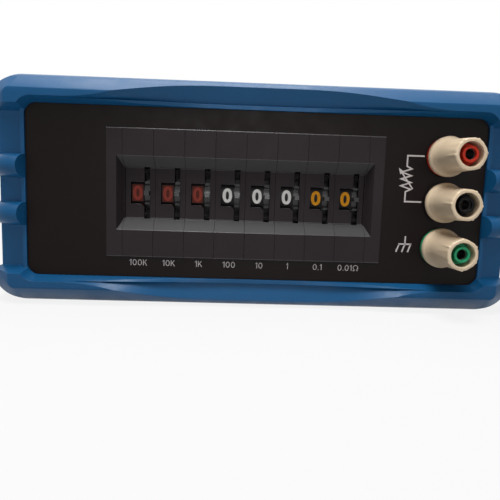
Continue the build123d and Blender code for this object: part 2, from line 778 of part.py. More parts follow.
def series_link(decade):
    """A wire link from one board to the next on its right, high and low in turn."""
    z = LINK_Z if decade % 2 else -LINK_Z
    return rod_x(LINK_R, board_left(decade), board_left(decade + 1) + BOARD_T, LINK_Y, z)


def end_cheek():
    """The left end piece of the bank, its inner face on the first module; closes the finger recess."""
    inner = SEAM / 2
    body = block(-CHEEK_W, -inner, -FLANGE_T, 0, -FLANGE_H / 2, FLANGE_H / 2)
    body += block(-CHEEK_BODY_W, -inner, 0, CHEEK_BODY_Y, -SHELL_HALF_H, SHELL_HALF_H)
    body += block(-CHEEK_PLATE_T, -inner, CHEEK_BODY_Y, SHELL_DEPTH, -SHELL_HALF_H, SHELL_HALF_H)
    mouth = [(-CHEEK_BEVEL_TOP, -FLANGE_T), (-CHEEK_BEVEL_FOOT, BEVEL_FOOT_Y)]
    mouth += [(0, BEVEL_FOOT_Y), (0, -FLANGE_T)]
    side_cut = plan_profile(mouth, -RECESS_TOP_Z, RECESS_TOP_Z)
    bevels = side_profile(
        [
            (-FLANGE_T, RECESS_TOP_Z),
            (BEVEL_FOOT_Y, RECESS_FOOT_Z),
            (BEVEL_FOOT_Y, -RECESS_FOOT_Z),
            (-FLANGE_T, -RECESS_TOP_Z),
        ],
        -CHEEK_W,
        0,
    )
    body -= side_cut & bevels
    barb = [
        (-CHEEK_BODY_W, PANEL_BACK),
        (-CHEEK_BODY_W - BARB_REACH, PANEL_BACK),
        (-CHEEK_BODY_W, PANEL_BACK + BARB_L),
    ]
    body += plan_profile(barb, -BARB_HALF_H, BARB_HALF_H)
    for side in (-1, 1):
        body -= rod_x(TIE_R + TIE_FIT, -CHEEK_W, 0, TIE_Y, side * TIE_Z)
    return body


def tie_rods():
    """Two rods through the whole stack."""
    half = BANK_HALF_W + CHEEK_PLATE_T + TIE_NUT_T + TIE_END
    return group(rod_x(TIE_R, BANK_X - half, BANK_X + half, TIE_Y, side * TIE_Z) for side in (-1, 1))


def tie_nuts():
    """A nut at each end of each tie rod."""
    nuts = []
    start = BANK_HALF_W + CHEEK_PLATE_T
    for end in (-1, 1):
        for side in (-1, 1):
            face = Plane.YZ.offset(start) * RegularPolygon(TIE_NUT_FLATS / 2, 6, major_radius=False)
            nut = extrude(face, TIE_NUT_T, dir=(1, 0, 0)) - rod_x(TIE_R + TIE_FIT, start, start + TIE_NUT_T)
            nut = Pos(0, TIE_Y, side * TIE_Z) * nut
            nuts.append(Pos(BANK_X, 0, 0) * (nut if end > 0 else mirror(nut, Plane.YZ)))
    return group(nuts)


# Screw terminals, modelled about the Y axis and moved to their places

def terminal_heights():
    """Heights of the three terminals, from the top."""
    return (TERMINAL_PITCH, 0.0, -TERMINAL_PITCH)


def terminal_base():
    """The coloured insulator in front of the panel, with a spigot through its hole."""
    return turned(
        [
            (POST_R + SCREW_FIT, COLLAR_T - BASE_T),
            (COLLAR_R + SCREW_FIT, COLLAR_T - BASE_T),
            (COLLAR_R + SCREW_FIT, -BASE_T),
            (BASE_R, -BASE_T),
            (BASE_R, 0),
            (SPIGOT_R, 0),
            (SPIGOT_R, PANEL_BACK),
            (POST_R + SCREW_FIT, PANEL_BACK),
        ]
    )


def terminal_post():
    """The metal stud: socket in front, wire hole behind it, threaded tail."""
    post = turned(
        [
            (0, -POST_TIP),
            (NECK_R, -POST_TIP),
            (NECK_R, -SHOULDER_BACK),
            (POST_R, -SHOULDER_BACK),
            (POST_R, -BASE_T),
            (COLLAR_R, -BASE_T),
            (COLLAR_R, COLLAR_T - BASE_T),
            (POST_R, COLLAR_T - BASE_T),
            (POST_R, POST_TAIL),
            (0, POST_TAIL),
        ]
    )
    post -= rod_y(SOCKET_R, -POST_TIP, SOCKET_L - POST_TIP)
    return post - rod_x(WIRE_HOLE_R, -COLLAR_R, COLLAR_R, WIRE_HOLE_Y)


def terminal_sleeve():
    """The coloured insulator on the post's neck, with the socket's mouth."""
    return turned(
        [
            (SLEEVE_BORE_R, -POST_TIP - SLEEVE_LIP),
            (SLEEVE_R, -POST_TIP - SLEEVE_LIP),
            (SLEEVE_R, -SHOULDER_BACK - SHOULDER_T),
            (SHOULDER_R, -SHOULDER_BACK - SHOULDER_T),
            (SHOULDER_R, -SHOULDER_BACK),
            (NECK_R, -SHOULDER_BACK),
            (NECK_R, -POST_TIP),
            (SLEEVE_BORE_R, -POST_TIP),
        ]
    )


def clamp_washer():
    """The pressure washer that the cap turns against."""
    return rod_y(WASHER_R, -WASHER_FRONT, -BASE_T) - rod_y(POST_R + WASHER_ROOM, -WASHER_FRONT, -BASE_T)


def clamp_cap():
    """The fluted cap: flange, cone and tapered grip, threaded on the post."""
    back = BASE_T + CAP_THREAD_FIT
    seat = WASHER_FRONT + CAP_THREAD_FIT
    cone_end = back + CAP_FLANGE_T + CAP_NECK_L
    bore = POST_R + CAP_THREAD_FIT
    room = WASHER_R + WASHER_ROOM
    edge_mid = CAP_EDGE_R * (1 - math.cos(math.pi / 4))
    cap = turned(
        [
            (room, -back),
            (CAP_FLANGE_R, -back),
            (CAP_FLANGE_R, -back - CAP_FLANGE_T),
            (CAP_WAIST_R, -back - CAP_FLANGE_T - CAP_WAIST_L),
            (CAP_NECK_R, -cone_end),
            (CAP_TIP_R, CAP_EDGE_R - CAP_TIP),
            (CAP_TIP_R - edge_mid, edge_mid - CAP_TIP),
            (CAP_TIP_R - CAP_EDGE_R, -CAP_TIP),
            (CAP_MOUTH_R, -CAP_TIP),
            (CAP_MOUTH_R, -CAP_STEP),
            (bore, -CAP_STEP),
            (bore, -seat),
            (room, -seat),
        ]
    )
    taper = math.degrees(math.atan2(CAP_NECK_R - CAP_TIP_R, CAP_TIP - cone_end))
    length = 2 * (CAP_TIP - FLUTE_START)
    cutter = Rot(taper, 0, 0) * rod_y(FLUTE_R, -length / 2, length / 2)
    cutter = Pos(0, -CAP_TIP, CAP_TIP_R + FLUTE_R - FLUTE_DEPTH) * cutter
    for i in range(FLUTES):
        cap -= Rot(0, (i + 0.5) * 360 / FLUTES, 0) * cutter
    return cap


def terminal_backers():
    """Rear insulators of the three terminals."""
    back = PANEL_BACK + BACKER_T
    ring = rod_y(BACKER_R, PANEL_BACK, back) - rod_y(POST_R + SCREW_FIT, PANEL_BACK, back)
    return group(Pos(TERMINAL_X, 0, z) * ring for z in terminal_heights())


def terminal_nuts():
    """Two nuts on each post, one on each side of the solder tag."""
    nuts = []
    for z in terminal_heights():
        for start in (PANEL_BACK + BACKER_T, NUT_BACK + TAG_T):
            nut = hex_bar(NUT_FLATS, start, start + NUT_T) - rod_y(POST_R + SCREW_FIT, start, start + NUT_T)
            nuts.append(Pos(TERMINAL_X, 0, z) * nut)
    return group(nuts)


def solder_tags():
    """A tag on each post that points to the middle of the box."""
    tags = []
    for z in terminal_heights():
        tag = rod_y(NUT_FLATS / 2, NUT_BACK, NUT_BACK + TAG_T)
        tag += block(-TAG_L, 0, NUT_BACK, NUT_BACK + TAG_T, -TAG_W / 2, TAG_W / 2)
        tag -= rod_y(POST_R + SCREW_FIT, NUT_BACK, NUT_BACK + TAG_T)
        tag -= rod_y(TAG_HOLE_R, NUT_BACK, NUT_BACK + TAG_T, TAG_HOLE_X)
        tags.append(Pos(TERMINAL_X, 0, z) * tag)
    return group(tags)


def lead(points):
    """An insulated wire along a bent path."""
    path = FilletPolyline(*points, radius=WIRE_BEND_R)
    start = Plane(origin=path @ 0, z_dir=path % 0)
    return sweep(start * Circle(WIRE_R), path=path)


def terminal_leads():
    """Red to the last decade's board, black round behind the boards to the first one, green to the case."""
    red_z, black_z, green_z = terminal_heights()
    tag_x = TERMINAL_X + TAG_HOLE_X
    board_y = BOARD_TAIL_Y - WIRE_INSET
    behind_y = board_y + WIRE_ROOM
    left_x = board_left(1) - WIRE_ROOM
    low_z = red_z - WIRE_ROOM
    red = [
        (tag_x, NUT_BACK, red_z),
        (tag_x, board_y, red_z),
        (tag_x, board_y, low_z),
        (board_left(DECADES) + BOARD_T, board_y, low_z),
    ]
    black = [
        (tag_x, NUT_BACK, black_z),
        (tag_x, behind_y, black_z),
        (left_x, behind_y, black_z),
        (left_x, board_y, black_z),
        (board_left(1), board_y, black_z),
    ]
    green = [
        (tag_x, NUT_BACK, green_z),
        (tag_x, EARTH_Y, green_z),
        (tag_x, EARTH_Y, CASE_WALL - CASE_H / 2),
    ]
    return group(lead(points) for points in (red, black, green))


def build_parts():
    """Every node of the box by its name, still about the middle of the front panel."""
    frame = bumper()
    upper, lower = case_shells()
    corners = corner_places()
    parts = {
        "front_bumper": front_bumper(frame),
        "rear_bumper": rear_bumper(frame),
        "upper_case": upper,
        "lower_case": lower,
        "front_panel": front_panel(),
        "panel_film": panel_film(),
        "rear_panel": to_rear(panel_plate()),
        "panel_screws": panel_screws(),
        "case_inserts": group(case_insert(x, z) for x, z in corners),
        "case_screws": group(case_screw(x, z) for x, z in corners),
        "left_end_cheek": Pos(BANK_X - BANK_HALF_W, 0, 0) * end_cheek(),
        "right_end_cheek": Pos(BANK_X + BANK_HALF_W, 0, 0) * mirror(end_cheek(), Plane.YZ),
        "bank_tie_rods": tie_rods(),
        "bank_tie_nuts": tie_nuts(),
        "terminal_backers": terminal_backers(),
        "terminal_nuts": terminal_nuts(),
        "solder_tags": solder_tags(),
        "terminal_leads": terminal_leads(),
    }
    housing = switch_housing()
    wheel = thumbwheel()
    board = switch_board()
    spring = detent_spring()
    springs = []
    resistors = []
    for decade in range(1, DECADES + 1):
        here = Pos(module_x(decade), 0, 0)
        parts[f"switch_housing_{decade}"] = here * housing
        parts[f"thumbwheel_{decade}"] = here * wheel
        parts[f"switch_board_{decade}"] = here * board
        springs.append(here * spring)
        resistors.extend(decade_resistors(decade))
    parts["detent_springs"] = group(springs)
    parts["decade_resistors"] = group(resistors)
    parts["series_links"] = group(series_link(decade) for decade in range(1, DECADES))
    for colour, z in zip(("red", "black", "green"), terminal_heights()):
        here = Pos(TERMINAL_X, 0, z)
        parts[f"{colour}_terminal_base"] = here * terminal_base()
        parts[f"{colour}_terminal_post"] = here * terminal_post()
        parts[f"{colour}_terminal_sleeve"] = here * terminal_sleeve()
        parts[f"{colour}_clamp_washer"] = here * clamp_washer()
        parts[f"{colour}_clamp_cap"] = here * clamp_cap()
    return parts


os.makedirs("parts", exist_ok=True)
for node, shape in build_parts().items():
    export_step(PLACE * shape, f"parts/{node}.step")
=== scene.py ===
"""Looks of the resistance decade box: finishes, moulded edges, wheel digits, panel prints, terminals.

Everything is in metres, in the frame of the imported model: X to the right, Y into the box, Z up.
"""

import json
import logging
import math
from dataclasses import dataclass
from enum import Enum

import bmesh
import bpy
import numpy as np
from mathutils import Matrix, Vector

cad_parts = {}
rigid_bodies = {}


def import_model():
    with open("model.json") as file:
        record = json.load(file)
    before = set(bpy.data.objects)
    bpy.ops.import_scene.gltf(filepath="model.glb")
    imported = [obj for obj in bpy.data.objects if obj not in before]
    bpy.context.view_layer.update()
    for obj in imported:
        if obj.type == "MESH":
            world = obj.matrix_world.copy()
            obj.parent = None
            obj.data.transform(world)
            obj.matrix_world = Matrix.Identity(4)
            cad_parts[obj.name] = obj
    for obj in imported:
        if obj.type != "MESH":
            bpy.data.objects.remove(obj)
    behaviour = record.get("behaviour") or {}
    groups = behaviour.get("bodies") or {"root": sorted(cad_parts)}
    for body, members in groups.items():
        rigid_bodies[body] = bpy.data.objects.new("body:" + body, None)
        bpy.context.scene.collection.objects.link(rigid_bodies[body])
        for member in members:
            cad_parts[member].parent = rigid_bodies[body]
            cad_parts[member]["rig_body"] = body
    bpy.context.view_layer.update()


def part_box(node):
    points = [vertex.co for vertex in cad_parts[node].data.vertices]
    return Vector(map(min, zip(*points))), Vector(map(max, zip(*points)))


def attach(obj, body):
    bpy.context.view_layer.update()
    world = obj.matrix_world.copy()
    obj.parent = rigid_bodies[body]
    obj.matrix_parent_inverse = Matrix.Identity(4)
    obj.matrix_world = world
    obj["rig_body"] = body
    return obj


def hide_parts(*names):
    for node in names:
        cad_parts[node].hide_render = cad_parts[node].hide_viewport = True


MM = 0.001
SHARP_DEG = 35.0
WELD_MM = 0.002
FLAT_DEG = 0.3
NOISE_SPAN = (0.3, 0.7)
SHEEN_SHARE = 0.3
LEAST_ROUGHNESS = 0.02
SHADE_DETAIL, SHEEN_DETAIL, SWELL_DETAIL, GRAIN_DETAIL = 3.0, 4.0, 1.0, 2.0
FONT_STEPS = 6
LOG = logging.getLogger("decade_box")


class Grain(Enum):
    """The way the small relief of a surface runs."""

    EVEN = "even"
    ALONG_X = "along_x"
    ALONG_Y = "along_y"
    TURNED_Y = "turned_y"


@dataclass(frozen=True)
class Finish:
    """A surface finish that is built as a material of nodes on Object coordinates.

    The colour wanders between two shades by a wide noise, the roughness by a finer one, and a fine
    noise gives the relief. A second, coarser relief stands for the flow of a moulding or a paint.
    """

    name: str
    colour: tuple[float, float, float]
    roughness: float = 0.45
    metallic: float = 0.0
    mottle: float = 0.06
    cloud_mm: float = 22.0
    grain_mm: float = 0.35
    relief_mm: float = 0.006
    swell_mm: float = 6.0
    swell_relief_mm: float = 0.004
    roughness_swing: float = 0.06
    coat: float = 0.0
    specular: float = 0.5
    grain: Grain = Grain.EVEN

    def material(self) -> bpy.types.Material:
        """Gives the finish's material and makes it on the first call.

        Returns:
            The material with this finish's nodes.
        """
        label = f"{self.name}_finish"
        found = bpy.data.materials.get(label)
        if found is not None:
            return found
        made = bpy.data.materials.new(label)
        made.use_nodes = True
        tree = made.node_tree
        shader = tree.nodes["Principled BSDF"]
        shader.inputs["Metallic"].default_value = self.metallic
        shader.inputs["Coat Weight"].default_value = self.coat
        shader.inputs["Specular IOR Level"].default_value = self.specular
        place = self._place(tree)
        self._link_colour(tree, shader, place)
        self._link_roughness(tree, shader, place)
        self._link_relief(tree, shader, place)
        return made

    def _place(self, tree: bpy.types.NodeTree) -> bpy.types.NodeSocket:
        """Object coordinates, stretched along the grain where it has a direction.

        Args:
            tree: The material's nodes.

        Returns:
            The vector socket that the noises read.
        """
        coordinates = tree.nodes.new("ShaderNodeTexCoord").outputs["Object"]
        if self.grain is Grain.EVEN:
            return coordinates
        stretch = tree.nodes.new("ShaderNodeMapping")
        stretch.inputs["Scale"].default_value = {
            Grain.ALONG_X: (0.04, 1.0, 1.0),
            Grain.ALONG_Y: (1.0, 0.04, 1.0),
            Grain.TURNED_Y: (0.25, 1.0, 0.25),
        }[self.grain]
        tree.links.new(coordinates, stretch.inputs["Vector"])
        return stretch.outputs["Vector"]

    def _noise(
        self, tree: bpy.types.NodeTree, place: bpy.types.NodeSocket, size_mm: float, detail: float
    ) -> bpy.types.NodeSocket:
        """A noise whose features are about size_mm across.

        Args:
            tree: The material's nodes.
            place: The vector socket that it reads.
            size_mm: The size of its features in millimetres.
            detail: How many finer layers it has.

        Returns:
            The noise's value socket.
        """
        noise = tree.nodes.new("ShaderNodeTexNoise")
        noise.inputs["Scale"].default_value = 1.0 / (size_mm * MM)
        noise.inputs["Detail"].default_value = detail
        tree.links.new(place, noise.inputs["Vector"])
        return noise.outputs["Fac"]

    def _link_colour(
        self, tree: bpy.types.NodeTree, shader: bpy.types.Node, place: bpy.types.NodeSocket
    ) -> None:
        """Mixes the darker and the lighter shade by the wide noise.

        Args:
            tree: The material's nodes.
            shader: The Principled shader.
            place: The vector socket of the noises.
        """
        mix = tree.nodes.new("ShaderNodeMix")
        mix.data_type = "RGBA"
        for socket, share in (("A", 1 - self.mottle), ("B", 1 + self.mottle)):
            mix.inputs[socket].default_value = tuple(min(1.0, c * share) for c in self.colour) + (1.0,)
        tree.links.new(self._noise(tree, place, self.cloud_mm, SHADE_DETAIL), mix.inputs["Factor"])
        tree.links.new(mix.outputs["Result"], shader.inputs["Base Color"])

    def _link_roughness(
        self, tree: bpy.types.NodeTree, shader: bpy.types.Node, place: bpy.types.NodeSocket
    ) -> None:
        """Swings the roughness about its mean by a finer noise.

        Args:
            tree: The material's nodes.
            shader: The Principled shader.
            place: The vector socket of the noises.
        """
        span = tree.nodes.new("ShaderNodeMapRange")
        span.inputs["From Min"].default_value, span.inputs["From Max"].default_value = NOISE_SPAN
        span.inputs["To Min"].default_value = max(LEAST_ROUGHNESS, self.roughness - self.roughness_swing)
        span.inputs["To Max"].default_value = min(1.0, self.roughness + self.roughness_swing)
        noise = self._noise(tree, place, self.cloud_mm * SHEEN_SHARE, SHEEN_DETAIL)
        tree.links.new(noise, span.inputs["Value"])
        tree.links.new(span.outputs["Result"], shader.inputs["Roughness"])

    def _link_relief(
        self, tree: bpy.types.NodeTree, shader: bpy.types.Node, place: bpy.types.NodeSocket
    ) -> None:
        """Chains the coarse relief and the fine relief into the normal.

        Args:
            tree: The material's nodes.
            shader: The Principled shader.
            place: The vector socket of the noises.
        """
        swell = tree.nodes.new("ShaderNodeBump")
        swell.inputs["Distance"].default_value = self.swell_relief_mm * MM
        tree.links.new(self._noise(tree, place, self.swell_mm, SWELL_DETAIL), swell.inputs["Height"])
        fine = tree.nodes.new("ShaderNodeBump")
        fine.inputs["Distance"].default_value = self.relief_mm * MM
        tree.links.new(self._noise(tree, place, self.grain_mm, GRAIN_DETAIL), fine.inputs["Height"])
        tree.links.new(swell.outputs["Normal"], fine.inputs["Normal"])
        tree.links.new(fine.outputs["Normal"], shader.inputs["Normal"])


@dataclass(frozen=True)
class Print(Finish):
    """A printed or stamped ink: a thin even layer with slightly rubbed spots."""

    roughness: float = 0.5
    mottle: float = 0.1
    cloud_mm: float = 1.2
    grain_mm: float = 0.2
    relief_mm: float = 0.004


BUMPER_BLUE = Finish(
    "bumper_blue",
    (0.0045, 0.071, 0.183),
    0.38,
    specular=0.22,
    mottle=0.08,
    grain_mm=0.5,
    relief_mm=0.012,
    swell_relief_mm=0.0015,
)
CASE_PAINT = Finish(
    "case_paint", (0.20, 0.21, 0.22), 0.42, mottle=0.03, grain_mm=0.7, relief_mm=0.02, swell_mm=3.0
)
PANEL_METAL = Finish("panel_metal", (0.62, 0.62, 0.63), 0.35, metallic=1.0, grain=Grain.ALONG_X)
PANEL_FILM = Finish(
    "panel_film", (0.0040, 0.0012, 0.0011), 0.42, specular=0.12, grain_mm=0.22, relief_mm=0.002, mottle=0.15
)
REAR_PAINT = Finish("rear_panel_paint", (0.15, 0.16, 0.17), 0.45, mottle=0.03, grain_mm=0.6, relief_mm=0.02)
STEEL = Finish("zinc_steel", (0.55, 0.55, 0.56), 0.32, metallic=1.0, grain_mm=0.3, relief_mm=0.003)
SPRING_STEEL = Finish("spring_steel", (0.5, 0.49, 0.47), 0.28, metallic=1.0, grain=Grain.ALONG_Y)
BRASS = Finish("turned_brass", (0.72, 0.52, 0.24), 0.3, metallic=1.0, grain=Grain.TURNED_Y)
DULL_NICKEL = Finish("dull_nickel", (0.16, 0.15, 0.14), 0.36, metallic=1.0, grain=Grain.TURNED_Y)
NICKEL = Finish("nickel_plate", (0.66, 0.64, 0.6), 0.22, metallic=1.0, grain=Grain.TURNED_Y, relief_mm=0.003)
TINNED = Finish("tinned_copper", (0.66, 0.64, 0.6), 0.38, metallic=1.0, grain_mm=0.4)
BANK_BLACK = Finish(
    "bank_black", (0.0285, 0.0230, 0.0245), 0.4, specular=0.05, grain_mm=0.3, relief_mm=0.005, mottle=0.12
)
# The bank's rounded edges: shinier, and about twice as light as its black, which is painted highlight along
# the edges.
EDGE_HIGHLIGHT_BLACK = Finish("bank_edge_highlight_black", (0.060, 0.055, 0.056), 0.3, specular=0.3, grain_mm=0.3)
# The recess's slopes: a coarser relief, and a grey about twice as light as the bank's black, which is
# painted sheen on the slopes.
SLOPE_SHEEN_BLACK = Finish(
    "bank_slope_sheen_black", (0.056, 0.055, 0.0555), 0.45, specular=0.12, grain_mm=0.25, relief_mm=0.01
)
WHEEL_BLACK = Finish(
    "wheel_black", (0.010, 0.0090, 0.0095), 0.25, specular=0.08, grain_mm=0.3, relief_mm=0.004
)
# The thumb tabs: shinier, and twice as light as the wheel's black, which is painted glints on the tabs in
# the slot.
TAB_GLINT_BLACK = Finish(
    "wheel_tab_glint_black", (0.020, 0.018, 0.018), 0.2, specular=0.4, grain_mm=0.3, relief_mm=0.004
)
BOARD = Finish(
    "board_laminate", (0.025, 0.14, 0.06), 0.35, cloud_mm=5.0, grain_mm=0.4, relief_mm=0.01, coat=0.3
)
LACQUER = Finish("resistor_lacquer", (0.1, 0.3, 0.5), 0.25, coat=0.5, grain_mm=0.6)
RED = Finish("insulator_red", (0.46, 0.028, 0.012), 0.3, specular=0.16, grain_mm=0.6)
BLACK = Finish("insulator_black", (0.006, 0.0055, 0.0055), 0.3, specular=0.09, grain_mm=0.6)
GREEN = Finish("insulator_green", (0.016, 0.27, 0.12), 0.3, specular=0.22, grain_mm=0.6)
WIRE_BLACK = Finish("wire_black", (0.012, 0.012, 0.013), 0.4, grain_mm=0.5)
CREAM = Finish("cap_cream", (0.68, 0.535, 0.37), 0.33, mottle=0.05, grain_mm=0.5, relief_mm=0.006, coat=0.1)
INK_GREY = Print("legend_ink", (0.52, 0.48, 0.48))
INK_RED = Print("digit_red", (0.22, 0.026, 0.014), specular=0.2)
INK_WHITE = Print("digit_white", (0.70, 0.68, 0.66))
INK_AMBER = Print("digit_amber", (0.66, 0.27, 0.004), specular=0.15)
FIELD_RED = Print("wheel_field_red", (0.085, 0.016, 0.010), specular=0.1)


class Lead(Enum):
    """The three terminals, from the top."""

    RED = "red"
    BLACK = "black"
    GREEN = "green"

    def finish(self) -> Finish:
        """The finish of this terminal's insulating pieces."""
        return {Lead.RED: RED, Lead.BLACK: BLACK, Lead.GREEN: GREEN}[self]


def node_middle(node: str) -> np.ndarray:
    """The middle of a CAD node's box, as (x, y, z) in metres.

    Args:
        node: The node's name.

    Returns:
        The mean of the box's two corners.
    """
    return np.mean([tuple(corner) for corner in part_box(node)], axis=0)


@dataclass(frozen=True)
class Datum:
    """Where the CAD put the panel, the bank and the wheels, read from the boxes of its nodes."""

    panel_y: float
    panel_z: float
    wheel_y: float
    modules_x: tuple[float, ...]
    terminals: tuple[tuple[float, float], ...]

    @classmethod
    def read(cls, decades: int) -> "Datum":
        """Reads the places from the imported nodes.

        Args:
            decades: How many thumbwheels the bank has.

        Returns:
            The places in metres.
        """
        modules = [node_middle(f"switch_housing_{i}") for i in range(1, decades + 1)]
        terminals = [node_middle(f"{lead.value}_terminal_base") for lead in Lead]
        return cls(
            panel_y=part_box("panel_film")[0].y,
            panel_z=node_middle("panel_film")[2],
            wheel_y=node_middle("thumbwheel_1")[1],
            modules_x=tuple(x for x, _, _ in modules),
            terminals=tuple((x, z) for x, _, z in terminals),
        )


def new_piece(
    name: str, points: np.ndarray, faces: np.ndarray | list, finish: Finish, body: str, slot: str
) -> bpy.types.Object:
    """Makes a piece from points in the model's frame, and lets it ride on a body.

    Args:
        name: The piece's name.
        points: Its points, one row each, in metres.
        faces: Its faces as rows of point numbers.
        finish: Its finish.
        body: The CAD body that it rides on.
        slot: The record's material slot that it belongs to; it is not used.

    Returns:
        The new object.
    """
    mesh = bpy.data.meshes.new(name)
    mesh.from_pydata(points.tolist(), [], [[int(v) for v in face] for face in faces])
    mesh.validate()
    mesh.update()
    mesh.materials.append(finish.material())
    piece = bpy.data.objects.new(name, mesh)
    bpy.context.scene.collection.objects.link(piece)
    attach(piece, body)
    LOG.info("%s: %s, rides on %s", name, finish.name, body)
    return piece


def ring_faces(rings: int, columns: int) -> np.ndarray:
    """The quads of rings of points, numbered ring by ring, each ring and the row of rings closed.

    Args:
        rings: How many rings of points.
        columns: How many points in a ring.

    Returns:
        The quads, one row of four numbers each.
    """
    i, j = np.meshgrid(np.arange(rings), np.arange(columns), indexing="ij")
    row, next_row = i * columns, (i + 1) % rings * columns
    next_j = (j + 1) % columns
    quads = np.stack([row + j, row + next_j, next_row + next_j, next_row + j], axis=-1)
    return quads.reshape(-1, 4)


def ribbon(
    path: np.ndarray, width: float, closed: bool = False, mitre_limit: float = 0.35
) -> tuple[np.ndarray, np.ndarray]:
    """A flat mitred line of even width along a path in the XZ plane.

    At each corner the offset is along the mean of both runs' normals, made longer by one over the
    cosine of half the turn, so that both edges stay parallel to the runs.

    Args:
        path: Its points as rows of (x, z).
        width: Its width.
        closed: True if its last point joins its first.
        mitre_limit: The smallest cosine that a mitre is made with.

    Returns:
        The edge points as rows of (x, z), left edge first, and the quads between them.
    """
    loop = np.vstack([path, path[:1]]) if closed else path
    runs = np.diff(loop, axis=0)
    runs /= np.linalg.norm(runs, axis=1)[:, None]
    normals = np.stack([-runs[:, 1], runs[:, 0]], axis=1)
    before = np.roll(normals, 1, axis=0) if closed else np.vstack([normals[:1], normals])
    after = normals if closed else np.vstack([normals, normals[-1:]])
    mean = before + after
    mean /= np.linalg.norm(mean, axis=1)[:, None]
    reach = width / 2 / np.maximum((mean * before).sum(axis=1), mitre_limit)
    left = path + mean * reach[:, None]
    right = path - mean * reach[:, None]
    n = len(path)
    i = np.arange(n if closed else n - 1)
    k = (i + 1) % n
    return np.vstack([left, right]), np.stack([i, k, n + k, n + i], axis=1)


def join_shapes(shapes: list[tuple[np.ndarray, np.ndarray | list]]) -> tuple[np.ndarray, list]:
    """Joins shapes into one: each shape's faces count on from the points before it.

    Args:
        shapes: The points and the faces of each.

    Returns:
        The points of all, and the faces.
    """
    faces, start = [], 0
    for points, rows in shapes:
        faces += [[v + start for v in row] for row in rows]
        start += len(points)
    return np.vstack([points for points, _ in shapes]), faces


def ellipse(
    centre: tuple[float, float], radii: tuple[float, float], start: float, end: float, n: int
) -> np.ndarray:
    """Points on an elliptic arc: the centre plus the radii times cosine and sine of the angle.

    Args:
        centre: Its centre as (x, z).
        radii: Its half widths along x and z.
        start: The first angle in degrees.
        end: The last angle in degrees.
        n: How many points.

    Returns:
        The points as rows of (x, z).
    """
    angle = np.radians(np.linspace(start, end, n))
    return np.array(centre) + np.stack([radii[0] * np.cos(angle), radii[1] * np.sin(angle)], axis=1)


@dataclass(frozen=True)
class Stroke:
    """One pen stroke of a printed sign, on a square whose side is the height of the capitals."""

    path: np.ndarray
    closed: bool = False


@dataclass
class PenAlphabet:
    """The few signs that the panel's values need, drawn with a round-cornered pen line."""

    pen: float = 0.1
    gap: float = 0.21

    def sign(self, character: str) -> tuple[list[Stroke], float]:
        """The strokes of a sign and its width.

        Args:
            character: One of 0, 1, K, full stop and the ohm sign.

        Returns:
            The strokes and the width, in heights of the capitals.
        """
        pen = self.pen
        if character == "0":
            ring = ellipse((0.33, 0.5), (0.33 - pen / 2, 0.5 - pen / 2), 0, 345, 24)
            return [Stroke(ring, True)], 0.66
        if character == "1":
            return [Stroke(np.array([(0.0, 0.76), (0.24, 0.96), (0.24, 0.0)]))], 0.3
        if character == "K":
            stem = np.array([(pen / 2, 0.0), (pen / 2, 1.0)])
            arm = np.array([(0.58, 0.98), (pen, 0.40)])
            leg = np.array([(0.24, 0.60), (0.62, 0.0)])
            return [Stroke(stem), Stroke(arm), Stroke(leg)], 0.62
        if character == ".":
            return [Stroke(np.array([(0.07, 0.0), (0.07, 0.14)]))], 0.14
        bow = ellipse((0.45, 0.57), (0.40, 0.38), -118, -422, 25)
        foot = np.array([(0.0, pen / 2), (0.26, pen / 2)])
        return [Stroke(np.vstack([foot, bow])), Stroke(foot + np.array([0.64, 0.0]))], 0.9

    def word(self, text: str, height: float) -> tuple[np.ndarray, list]:
        """A word centred on the origin.

        Args:
            text: Its characters.
            height: The height of the capitals.

        Returns:
            The points as rows of (x, z), and the faces.
        """
        lines, x = [], 0.0
        for character in text:
            strokes, width = self.sign(character)
            for stroke in strokes:
                lines.append(ribbon(stroke.path + np.array([x, 0.0]), self.pen, stroke.closed))
            x += width + self.gap
        points, faces = join_shapes(lines)
        return (points - np.array([(x - self.gap) / 2, 0.5])) * height, faces


def glyphs(text: str, height: float, stretch: float, weight: float) -> tuple[np.ndarray, list]:
    """The flat outline of a word as a mesh, centred, with its caps height given.

    Args:
        text: The characters.
        height: The height that the mesh gets.
        stretch: The factor on its width.
        weight: How much bolder the strokes are, as a share of the height.

    Returns:
        The points as rows of (x, z), and the faces.
    """
    curve = bpy.data.curves.new("glyphs", "FONT")
    curve.body = text
    curve.size = 1.0
    curve.offset = weight
    curve.resolution_u = FONT_STEPS
    holder = bpy.data.objects.new("glyphs", curve)
    bpy.context.scene.collection.objects.link(holder)
    bpy.context.view_layer.update()
    mesh = bpy.data.meshes.new_from_object(holder.evaluated_get(bpy.context.evaluated_depsgraph_get()))
    flat = np.zeros(len(mesh.vertices) * 3)
    mesh.vertices.foreach_get("co", flat)
    flat = flat.reshape(-1, 3)[:, :2]
    faces = [list(face.vertices) for face in mesh.polygons]
    bpy.data.objects.remove(holder)
    bpy.data.curves.remove(curve)
    bpy.data.meshes.remove(mesh)
    low, high = flat.min(axis=0), flat.max(axis=0)
    flat = (flat - (low + high) / 2) * height / (high[1] - low[1])
    return flat * np.array([stretch, 1.0]), faces


def rounded_step(value: np.ndarray, start: float, end: float) -> np.ndarray:
    """A soft step: 0 below start, 1 above end, and 3 t squared minus 2 t cubed between them.

    Args:
        value: Where to take it.
        start: Where it leaves 0.
        end: Where it reaches 1.

    Returns:
        The step's height at each value.
    """
    t = np.clip((value - start) / (end - start), 0.0, 1.0)
    return t * t * (3 - 2 * t)


